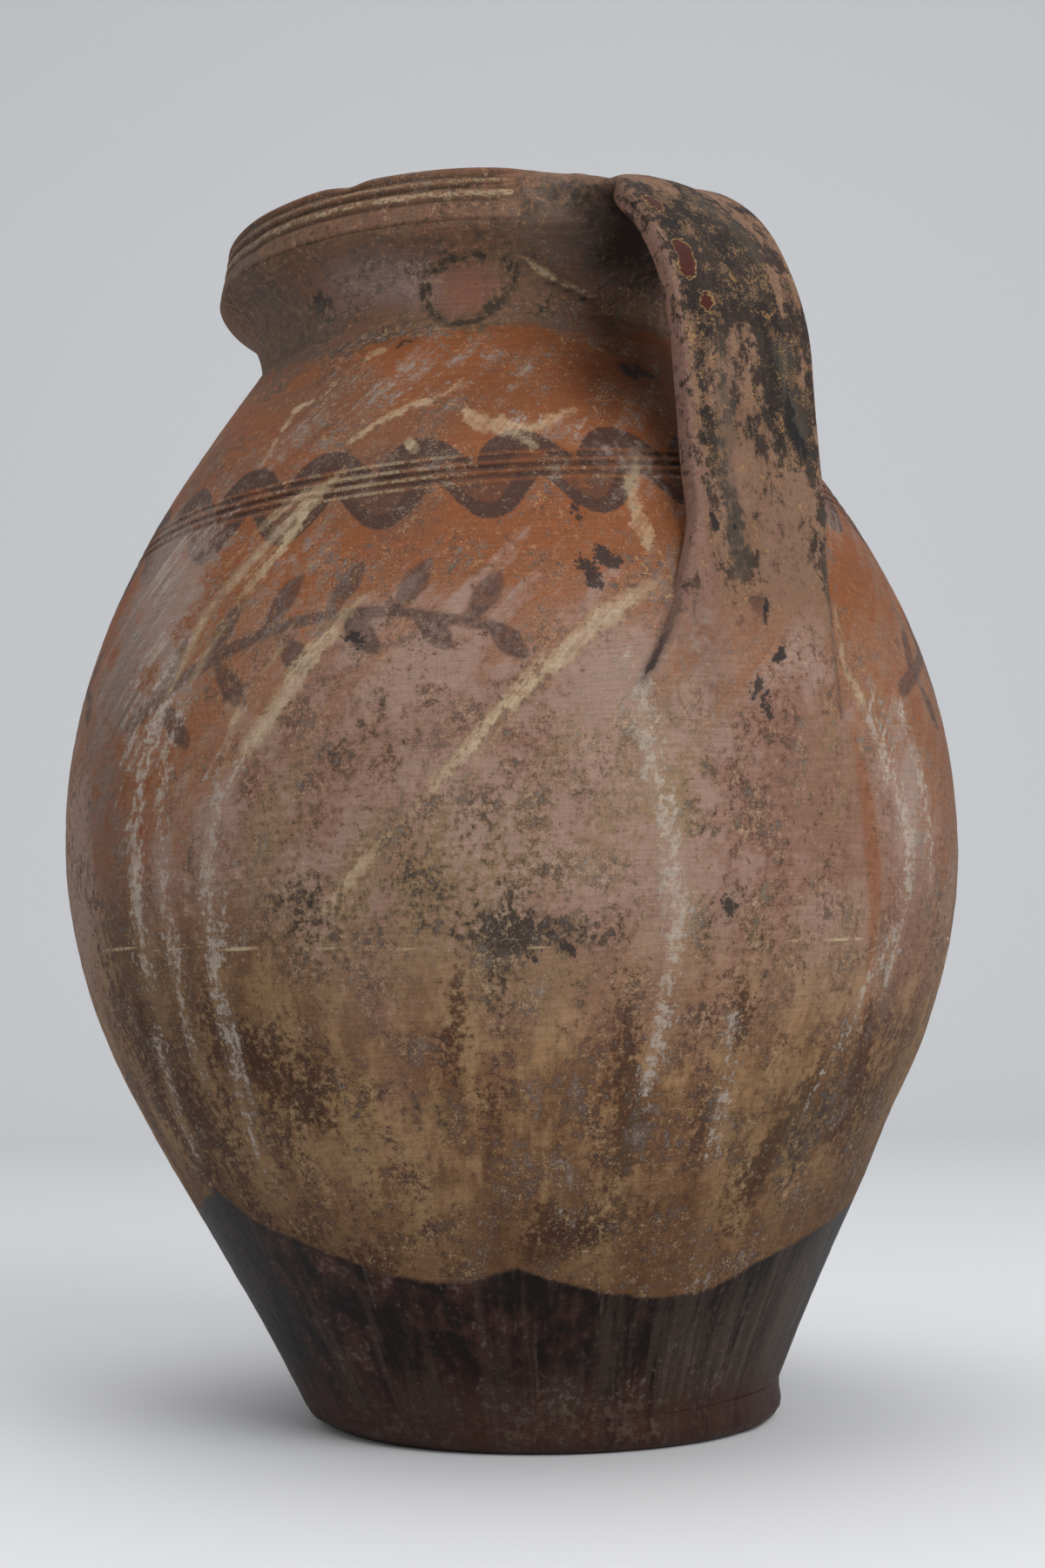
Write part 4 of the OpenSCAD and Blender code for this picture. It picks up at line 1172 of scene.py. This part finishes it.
@dataclass
class Body:
    """The thrown body: base, the two wall sections, the seam's coil, neck and rim band."""

    shape: JarShape
    maker: Maker
    steps: int = 520
    wall_step: float = 2.0
    inner_step: float = 9.0
    seam_scarf: float = 6.0

    def places(self, low: float, high: float, inner: bool, step: float) -> list[Point]:
        """Points along the outside or inside of the wall between two places."""
        rise = (self.shape.inside if inner else self.shape.outside)
        count = max(2, math.ceil((high - low) * 210 / step))
        return [rise(low + (high - low) * i / count) for i in range(count + 1)]

    def base(self) -> None:
        """The slab of the base with its rounded heel; it stands flat on the floor."""
        s = self.shape
        inner_r, inner_z = s.inside(0)
        heel = [(s.foot_r - 6, 0.6), (s.foot_r - 3, 0.0), (s.foot_r, 0.15), (s.foot_r + 2.6, 1.5),
                (s.heel_r - 0.9, 3.3), (s.heel_r, s.heel_round), (s.heel_r + 0.5, 7.5), (s.root_r, s.heel_h)]
        under = [(0.0, 1.2), (20.0, 1.1), (45.0, 0.9), (s.foot_r - 9, 0.9)]
        top = [(inner_r, inner_z), (inner_r - 5, s.base_t), (45.0, s.base_t - 0.6), (20.0, s.base_t), (0.0, s.base_t + 0.8)]
        outline = Outline.of(under + heel, top)
        bm = spin(outline.points, self.steps, False)
        back = STANCE.inverted()
        for vert in bm.verts:
            share = smooth(vert.co.z, 0.5, s.heel_h)
            angle = math.atan2(vert.co.y, vert.co.x)
            rough = 0.8 * noise.noise(Vector((math.cos(angle) * 5, math.sin(angle) * 5, vert.co.z / 5)))
            if 0.2 < vert.co.z < s.heel_h - 0.1 and vert.co.xy.length > s.foot_r - 1:
                vert.co.x += rough * math.cos(angle)
                vert.co.y += rough * math.sin(angle)
            flat = back @ (vert.co * MM)
            vert.co = flat.lerp(vert.co, share)
        bm.normal_update()
        self.maker.piece("jar_base", bm, WALL, Slot.FOOT, ["base"])

    def lower_wall(self) -> None:
        """The first thrown section."""
        s = self.shape
        seam_out, seam_in = s.place_at(s.seam_z), s.place_at(s.seam_z + self.seam_scarf, True)
        outline = Outline.of(self.places(0, seam_out, False, self.wall_step),
                             self.places(0, seam_in, True, self.inner_step)[::-1])
        self.maker.piece("jar_lower_wall", thrown(outline, self.steps), WALL, Slot.BODY, ["lower_wall"])

    def shoulder_wall(self) -> None:
        """The second thrown section, close-ringed where the comb went round."""
        s = self.shape
        seam_out, seam_in = s.place_at(s.seam_z), s.place_at(s.seam_z + self.seam_scarf, True)
        comb_low, comb_high = s.place_at(s.comb_z - 9), s.place_at(s.comb_z + 9)
        neck_out = s.place_at(s.body_h - s.neck_lap)
        outside = self.places(seam_out, comb_low, False, self.wall_step)
        outside += self.places(comb_low, comb_high, False, 0.55)[1:]
        outside += self.places(comb_high, neck_out, False, self.wall_step)[1:]
        outline = Outline.of(outside, self.places(seam_in, 2, True, self.inner_step)[::-1])
        self.maker.piece("jar_shoulder_wall", thrown(outline, self.steps), WALL, Slot.SHOULDER, ["shoulder_wall"])

    def seam_coil(self) -> None:
        """The coil pressed over the seam inside."""
        s = self.shape
        seam = s.place_at(s.seam_z + self.seam_scarf, True)
        low, high = seam - seam / 14, seam + (2 - seam) / 14
        wall = [s.inside(low + (high - low) * i / 6) for i in range(7)]
        bulge = [s.inside(high + (low - high) * i / 12) for i in range(1, 12)]
        bulge = [(r - s.coil_t * math.sin(math.pi * (i + 1) / 12), z) for i, (r, z) in enumerate(bulge)]
        outline = Outline.of([], wall + bulge)
        self.maker.piece("jar_seam_coil", thrown(outline, 240), WALL, Slot.INSIDE, ["inner_seam_coil"])

    def neck(self) -> None:
        """The flared neck with its sharp root."""
        s = self.shape
        neck_out = s.place_at(s.body_h - s.neck_lap)
        outside = self.places(neck_out, 2, False, 1.2)
        outside += [cubic(s.flare, i / 22) for i in range(1, 23)]
        throat_root = s.inside(2)
        throat = [throat_root, (s.neck_r - s.wall_t, s.body_h + s.neck_h / 4),
                  (s.neck_r - s.wall_t, s.body_h + s.neck_h / 2), (s.mouth_r - 1, s.rim_z - 3)]
        inside = [cubic(throat, i / 12) for i in range(13)]
        outline = Outline.of(outside, inside[::-1])
        self.maker.piece("jar_neck", thrown(outline, self.steps), WALL, Slot.RIM, ["neck"])

    def rim(self) -> None:
        """The rim band with its two turned grooves and worn lip."""
        s = self.shape
        outside = [(s.flare_r - 1.0, s.rim_z - 0.4)]
        for z in even(s.rim_z, s.top_z - 1.5, 0.55):
            share = (z - s.rim_z) / s.rim_h
            r = s.flare_r + (s.rim_r - s.flare_r) * share
            for groove, depth in RIM_GROOVES:
                away = (z - s.rim_z - groove) / 1.0
                r -= depth * math.exp(-away * away)
            r -= 1.0 * math.exp(-((z - s.rim_z) / 0.9) ** 2)
            outside.append((r, z))
        outside += [(s.rim_r - 0.8, s.top_z - 0.5), (s.rim_r - 2.2, s.top_z)]
        inside = [(s.mouth_r + 4, s.top_z + 0.2), (s.mouth_r + 1.4, s.top_z - 0.4), (s.mouth_r, s.top_z - 2.2),
                  (s.mouth_r - 0.4, s.top_z - 9), (s.mouth_r - 0.8, s.rim_z + 3), (s.mouth_r - 1, s.rim_z - 3)]
        outline = Outline.of(outside, inside)
        self.maker.piece("jar_rim", thrown(outline, self.steps), WALL, Slot.RIM, ["rim_band"])

    def build(self) -> None:
        """Makes every piece of the body."""
        self.base()
        self.lower_wall()
        self.shoulder_wall()
        self.seam_coil()
        self.neck()
        self.rim()


STRAP_SOOT: Sequence[Mark] = (
    (-3, 44, 20, 18, 1.2), (4, 62, 16, 14, 1.1), (-6, 82, 20, 12, 1.0), (10, 98, 8, 17, 1.3), (15, 118, 8, 14, 1.5),
    (19, 131, 5, 6, 1.0), (-21, 58, 6, 20, 0.8), (-22, 98, 5, 26, 0.9), (-20, 128, 4, 18, 0.7), (-19, 160, 4, 26, 0.6),
    (-19, 186, 4, 16, 0.7), (22, 165, 4, 26, 1.0), (-2, 112, 14, 20, 0.35), (0, 150, 20, 40, 0.15),
    (-14, 97, 5, 8, 0.5), (-2, 190, 6, 10, 0.6), (8, 202, 6, 10, 0.5), (25, 100, 4, 30, 0.5))
STRAP_BLACKS: Sequence[Stroke] = (
    ((-8.5, 182, 1.6), (-7.4, 191, 3.2), (-6.6, 199, 2.8), (-5.4, 207, 1.0)), ((-15.5, 154, 0.8), (-14.5, 160, 1.3)),
    ((-14.5, 166, 1.0), (-14.0, 173, 1.4)), ((-19.0, 200, 0.6), (-18.5, 208, 1.3), (-18.0, 214, 0.8)),
    ((12.0, 108, 1.2), (15.0, 124, 2.4), (19.0, 131, 1.6)), ((14.0, 36, 1.4), (18.0, 40, 2.2)),
    ((-23.0, 140, 0.6), (-22.5, 152, 1.2), (-22.0, 160, 0.7)))
STRAP_GREYS: Sequence[Stroke] = (
    ((-13.5, 96, 1.5), (-14.5, 118, 3.0), (-15.5, 146, 3.2), (-16.0, 176, 2.6), (-16.5, 206, 1.0)),
    ((-6.0, 40, 4.0), (6.0, 52, 7.0), (10.0, 64, 4.0)), ((13.0, 96, 3.0), (17.0, 118, 4.5), (19.5, 134, 2.0)),
    ((22.5, 150, 1.0), (22.5, 176, 1.8), (22.0, 196, 0.6)))
STRAP_SPOTS: Sequence[Stroke] = (
    ((-20.5, 66, 3.0), (-20.0, 70, 3.4), (-21.0, 76, 2.4)), ((-17.0, 86, 2.3), (-16.8, 86.5, 2.2)),
    ((-16.0, 81.5, 1.0), (-15.8, 82, 1.0)), ((-3.0, 86, 2.0), (-2.0, 86, 1.6)), ((6.0, 86, 1.6), (8.5, 86.4, 1.9)),
    ((23.5, 66, 0.9), (24.5, 70, 1.2)), ((-23.0, 45, 1.8), (-21.0, 49, 2.4)))


@dataclass
class Handle:
    """The pulled strap and the clay luted on at its two ends."""

    shape: JarShape
    maker: Maker
    width: float = 54.0
    thick: float = 11.0
    finger_gap: float = 54.0
    drop: float = 1.0
    bend: float = 77.0
    spread_z: float = 292.0
    land_z: float = 262.0
    end_z: float = 190.0
    spread: float = 54.0
    waist: float = 8.0
    end_thick: float = 2.0
    end_half: float = 10.0
    lift: float = 1.0
    bed: float = 8.0
    spread_tip: float = 0.54
    spread_bow: float = 1.4
    root_cut: float = 14.0
    lip: float = 2.4
    ring: int = 56

    def smear(self, z: float) -> float:
        """Share of the way from where the strap begins to spread to its smeared end."""
        return min(1.0, max(0.0, (self.spread_z - z) / (self.spread_z - self.end_z)))

    def far_side(self, z: float) -> float:
        """Reach of the strap from its middle on the side where it is smeared out."""
        s, half = self.smear(z), self.width / 2
        if s < self.spread_tip:
            return half + (self.spread - half) * (s / self.spread_tip) ** self.spread_bow
        share = (s - self.spread_tip) / (1 - self.spread_tip)
        return self.spread + (self.end_half - self.spread) * share ** self.spread_bow

    def near_side(self, z: float) -> float:
        """Reach of the strap from its middle on its narrow side."""
        s = self.smear(z)
        side = self.width / 2 - self.waist * math.sin(math.pi / 2 * s)
        return side + (self.end_half - side) * s ** 6

    def off_wall(self, z: float, off: float) -> Point:
        """Point that stands off the outside of the wall at a height."""
        place = self.shape.place_at(z)
        r, height = self.shape.outside(place)
        run = cubic_run(self.shape.lower, place) if place < 1 else cubic_run(self.shape.upper, place - 1)
        return r + off * run[1], height - off * run[0]

    def line(self) -> list[Point]:
        """Middle line of the strap from the rim to its smeared end."""
        s = self.shape
        reach = s.neck_r + self.finger_gap + self.thick / 2
        root = s.rim_r - self.bed
        level = s.top_z - self.drop - self.thick / 2
        bend_z = level - self.bend + self.thick / 2
        place = s.place_at(self.land_z)
        run = cubic_run(s.upper, place - 1)
        land = self.off_wall(self.land_z, self.lift)
        pull = 20 / run[1]
        fall = [(reach, bend_z), (reach, (bend_z + self.land_z) / 2),
                (land[0] + run[0] * pull, land[1] + run[1] * pull), land]
        points = []
        for i in range(30):
            a = math.pi / 2 * (1 - i / 30)
            points.append((root + (reach - root) * math.cos(a), bend_z + (level - bend_z) * math.sin(a)))
        points += [cubic(fall, i / 22) for i in range(22)]
        points += [self.off_wall(z, self.lift) for z in even(self.land_z, self.end_z, 2.6)]
        return points

    def section(self, at: Point, run: Point, along: float) -> tuple[list[Vector], list[Vector]]:
        """One ring of the strap and its places in the grain's frame."""
        near, far = self.near_side(at[1]), self.far_side(at[1])
        far -= self.root_cut * (1 - smooth(along, 6, 40))
        s = self.smear(at[1])
        thick = self.thick + (self.end_thick - self.thick) * s
        square = 4.5 - 2.8 * smooth(s, 0.25, 0.62)
        wrap = min(1.0, 3 * s)
        sunk = 2.2 * s
        ring, grains = [], []
        for j in range(self.ring):
            a = FULL_TURN * j / self.ring
            c, sn = math.cos(a), math.sin(a)
            across = math.copysign(abs(c) ** (2 / square), c)
            y = (near - far) / 2 + (near + far) / 2 * across
            h = thick / 2 * math.copysign(abs(sn) ** (2 / square), sn)
            rough = 0.5 * noise.noise(Vector((y / 14, along / 30, 3.0))) + 0.18 * noise.noise(Vector((y / 4, along / 9, 8.0)))
            if h > 0:
                groove = math.cos(y / self.width * 2 * math.pi * 1.5 + 0.6) * 0.55
                h += (groove + rough) * (1 - s) * smooth(1 - abs(across), 0.0, 0.3)
                lip = self.lip * smooth(s, 0.08, 0.28) * (1 - smooth(s, 0.46, 0.60))
                h += lip * math.exp(-((y + far - 3.0) / 3.0) ** 2)
            h -= sunk
            y += 0.6 * noise.noise(Vector((c * 2, along / 26, 1.0)))
            back = wrap * (at[0] - math.sqrt(max(1.0, at[0] ** 2 - y * y)))
            ring.append(Vector((at[0] + run[1] * h - back, y, at[1] - run[0] * h)))
            grains.append(Vector((y, h, along)))
        return ring, grains

    def strap(self) -> None:
        """The strap, swept along its line with its soft lengthwise grooves."""
        points = self.line()
        bm = bmesh.new()
        tag = bm.verts.layers.float_vector.new("lay_mm")
        loops: list[list[bmesh.types.BMEdge]] = []
        along = 0.0
        for i, at in enumerate(points):
            before, after = points[max(0, i - 1)], points[min(len(points) - 1, i + 1)]
            length = math.hypot(after[0] - before[0], after[1] - before[1])
            run = ((after[0] - before[0]) / length, (after[1] - before[1]) / length)
            if i:
                along += math.hypot(at[0] - points[i - 1][0], at[1] - points[i - 1][1])
            ring, grains = self.section(at, (-run[0], -run[1]), along)
            verts = bmesh.ops.create_circle(bm, cap_ends=False, radius=1, segments=self.ring)["verts"]
            for vert, place, lay in zip(verts, ring, grains):
                vert.co = place
                vert[tag] = lay
            loops.append(list({edge for vert in verts for edge in vert.link_edges}))
        for one, two in zip(loops, loops[1:]):
            bmesh.ops.bridge_loops(bm, edges=one + two)
        for loop in (loops[0], loops[-1]):
            bmesh.ops.holes_fill(bm, edges=loop, sides=0)
        bmesh.ops.recalc_face_normals(bm, faces=bm.faces)
        bm.normal_update()
        bm.verts.ensure_lookup_table()
        lay = np.array([tuple(v[tag]) for v in bm.verts])
        smears = np.array([self.smear(v.co.z) for v in bm.verts])
        strap = self.maker.piece("handle_strap_piece", bm, STRAP, Slot.HANDLE, ["handle_strap"])
        self.paint(strap.data, lay, smears)

    def paint(self, mesh: bpy.types.Mesh, lay: np.ndarray, smears: np.ndarray) -> None:
        """Stores the strap's own marks on its mesh.

        Args:
            mesh: the strap's mesh.
            lay: offset, thickness and place along the strap of each vertex, in millimetres.
            smears: how far the strap is smeared out there, from 0 to 1.
        """
        flat = Fields.__new__(Fields)
        flat.angle, flat.height, flat.radius = lay[:, 0], lay[:, 2], np.full(len(lay), 180 / math.pi)
        outer = (lay[:, 1] > -1).astype(float)
        # Mask of the painted highlight along both edges of the strap.
        edge = np.clip((-24.5 - lay[:, 0]) / 2, 0, 1) + np.clip((lay[:, 0] - 24.5) / 2, 0, 1)
        values = {
            "strap_soot": patches(flat, STRAP_SOOT) * (0.5 + 0.5 * outer),
            "strap_black": nearest(flat, STRAP_BLACKS),
            "strap_grey": nearest(flat, STRAP_GREYS),
            "spot": nearest(flat, STRAP_SPOTS) + (1 - outer) * 0.02,
            "edge": edge,
            "foot": np.clip((smears - 0.16) / 0.34, 0, 1),
        }
        for name, column in values.items():
            mesh.attributes.new(name, "FLOAT", "POINT").data.foreach_set("value", column.astype(np.float32))
        layer = mesh.attributes.new("lay", "FLOAT_VECTOR", "POINT")
        layer.data.foreach_set("vector", (lay * MM).astype(np.float32).ravel())

    def patch(self, name: str, node: str, y_range: Point, z_range: Point, thickness: Callable[[float, float], float],
              bed: float = 3.0) -> bpy.types.Object:
        """Clay smeared on the jar's outside: a sheet whose edges sink into the wall.

        Args:
            name: the piece's name.
            node: the frame's node that it stands for.
            y_range: lowest and highest offset from the handle's mid-plane.
            z_range: lowest and highest height.
            thickness: thickness over the wall at an offset and a height.
            bed: how deep the sheet's underside lies in the wall.

        Returns:
            The finished piece.
        """
        bm = bmesh.new()
        across = max(8, int((y_range[1] - y_range[0]) / 1.3))
        up = max(8, int((z_range[1] - z_range[0]) / 1.3))
        bmesh.ops.create_grid(bm, x_segments=across, y_segments=up, size=0.5)
        for vert in bm.verts:
            y = y_range[0] + (vert.co.x + 0.5) * (y_range[1] - y_range[0])
            z = z_range[0] + (vert.co.y + 0.5) * (z_range[1] - z_range[0])
            radius = TABLE.at(z)
            angle = y / radius
            r, height = throw(angle, z, radius, True)
            off = thickness(y, z)
            off += 0.35 * noise.noise(Vector((y / 7, z / 7, 4.0))) * smooth(off, 0, 1.5)
            r += off
            vert.co = (r * math.cos(angle), r * math.sin(angle), height)
        bmesh.ops.recalc_face_normals(bm, faces=bm.faces)
        if sum(f.normal.x for f in bm.faces) < 0:
            bmesh.ops.reverse_faces(bm, faces=bm.faces)
        bmesh.ops.solidify(bm, geom=bm.faces, thickness=bed)
        bmesh.ops.recalc_face_normals(bm, faces=bm.faces)
        bm.normal_update()
        return self.maker.piece(name, bm, WALL, Slot.HANDLE, [node])

    def lower_lute(self) -> None:
        """Clay pressed round the edges of the strap's foot."""
        def thickness(y: float, z: float) -> float:
            """Thick beside the strap's edge, gone a little way off, and hidden behind it above."""
            beside = max(-y - self.far_side(z), y - self.near_side(z), 0.0)
            below = max(self.end_z - z, 0.0)
            behind = max(abs(y) - 18.0, 0.0) * smooth(z, 262, 276)
            away = math.hypot(beside, below) + behind
            body = (2.8 - 2.6 * smooth(self.smear(z), 0.1, 0.7)) * math.exp(-(away / 4.5) ** 2)
            top = smooth(self.spread_z + 12 - z, 0, 12)
            return (body + 0.5) * top - 0.5 - 1.2 * smooth(away, 6, 11) - 1.2 * (1 - top)
        self.patch("handle_lower_lute_piece", "lower_handle_lute", (-72, 46), (174, 306), thickness)

    def upper_lute(self) -> None:
        """Wad pressed under the strap's root, smeared lumpily over the rim band on one side."""
        def thickness(y: float, z: float) -> float:
            """A lump under the strap, smears to both sides and a crease where the clay was dragged down."""
            lump = 10.5 * math.exp(-(y / 24) ** 4 - ((z - 403) / 12) ** 4)
            marks = noise.noise(Vector((y / 6, z / 5, 2.0))) + 0.5 * noise.noise(Vector((y / 2.4, z / 2.4, 5.0)))
            left = (3.6 + 1.6 * marks) * math.exp(-((y + 30) / 15) ** 4 - ((z - 409) / 10) ** 4)
            right = 2.6 * math.exp(-((y - 30) / 9) ** 2 - ((z - 403) / 11) ** 2)
            over = (y + 37) * 0.422 + (z - 389.5) * 0.907
            drag = 3.4 * smooth(over, 0, 1.8) * math.exp(-(over / 13) ** 2) * smooth(y, -46, -38) * smooth(-y, 2, 12)
            knob = 6.5 * math.exp(-((y + 19) / 11) ** 2 - ((z - 411) / 7) ** 2) * smooth(419 - z, 0, 5)
            return lump + left + right + drag + knob - 0.9
        lute = self.patch("handle_upper_lute_piece", "upper_handle_lute", (-60, 46), (376, 419), thickness)
        # No painted shade or painted highlights of the rim band on the lump.
        count = len(lute.data.vertices)
        lute.data.attributes["rim"].data.foreach_set("value", np.full(count, -0.02, dtype=np.float32))
        lute.data.attributes["groove_shade"].data.foreach_set("value", np.zeros(count, dtype=np.float32))

    def build(self) -> None:
        """Makes the strap and both lutes."""
        self.strap()
        self.lower_lute()
        self.upper_lute()


@dataclass(frozen=True)
class Studio:
    """Pale seamless floor and backdrop, soft lights and the photograph's viewpoint."""

    camera_at: tuple[float, float, float] = (0.6663, -0.4763, 0.1416)
    forward: tuple[float, float, float] = (-0.8141, 0.5721, 0.0992)
    up: tuple[float, float, float] = (0.0886, -0.0465, 0.995)
    lens: float = 52.04
    sensor: float = 36.0
    floor_colour: Colour = srgb(229, 231, 234)

    def camera(self) -> None:
        """Sets the camera at the photograph's viewing angle."""
        data = bpy.data.cameras.new("view")
        data.sensor_fit = "VERTICAL"
        data.sensor_height = self.sensor
        data.lens = self.lens
        data.clip_start = 0.01
        camera = bpy.data.objects.new("view", data)
        back = -Vector(self.forward).normalized()
        side = Vector(self.up).cross(back).normalized()
        up = back.cross(side)
        turn = Matrix((side, up, back)).transposed().to_4x4()
        camera.matrix_world = Matrix.Translation(self.camera_at) @ turn
        bpy.context.scene.collection.objects.link(camera)
        bpy.context.scene.camera = camera

    def stage(self) -> None:
        """The floor, curving up into a backdrop behind the jar."""
        bm = bmesh.new()
        profile = [(-2.6, 0.0), (1.7, 0.0)]
        profile += [(1.7 + 0.8 * math.sin(a), 0.8 - 0.8 * math.cos(a)) for a in even(0.1, math.pi / 2, 0.1)]
        profile.append((2.5, 3.4))
        verts = [bm.verts.new((x, -3.2, z)) for x, z in profile]
        edges = [bm.edges.new(pair) for pair in zip(verts, verts[1:])]
        fresh = bmesh.ops.extrude_edge_only(bm, edges=edges)["geom"]
        bmesh.ops.translate(bm, verts=[v for v in fresh if isinstance(v, bmesh.types.BMVert)], vec=(0, 6.4, 0))
        bmesh.ops.recalc_face_normals(bm, faces=bm.faces)
        heading = math.atan2(self.forward[1], self.forward[0])
        bmesh.ops.rotate(bm, verts=bm.verts, cent=(0, 0, 0), matrix=Matrix.Rotation(heading, 3, "Z"))
        mesh = bpy.data.meshes.new("floor")
        bm.to_mesh(mesh)
        bm.free()
        mesh.shade_smooth()
        g = Graph("floor_paper")
        g.shader.inputs["Base Color"].default_value = (*self.floor_colour, 1.0)
        g.shader.inputs["Roughness"].default_value = 0.9
        mesh.materials.append(g.material)
        floor = bpy.data.objects.new("floor", mesh)
        bpy.context.scene.collection.objects.link(floor)

    def light(self, name: str, place: tuple[float, float, float], size: float, power: float) -> None:
        """One soft area light that looks at the jar's middle."""
        data = bpy.data.lights.new(name, "AREA")
        data.shape = "SQUARE"
        data.size = size
        data.energy = power
        lamp = bpy.data.objects.new(name, data)
        aim = Vector((0, 0, 0.22)) - Vector(place)
        lamp.matrix_world = Matrix.Translation(place) @ aim.to_track_quat("-Z", "Y").to_matrix().to_4x4()
        bpy.context.scene.collection.objects.link(lamp)

    def build(self) -> None:
        """Camera, stage, lights, world and the plain view transform."""
        self.camera()
        self.stage()
        self.light("window", (1.8, 0.0, 1.2), 1.4, 26)
        self.light("ceiling", (-0.1, -0.3, 2.2), 1.8, 16)
        world = bpy.data.worlds.new("soft")
        world.use_nodes = True
        background = world.node_tree.nodes["Background"]
        background.inputs[0].default_value = (1.0, 1.0, 1.0, 1.0)
        background.inputs[1].default_value = 0.46
        bpy.context.scene.world = world
        bpy.context.scene.view_settings.view_transform = "Standard"


def main() -> None:
    """Builds the studio and the jar."""
    logging.basicConfig(level=logging.INFO, format="%(message)s")
    maker = Maker()
    Studio().build()
    Body(SHAPE, maker).build()
    Handle(SHAPE, maker).build()


if __name__ == "__main__":
    main()
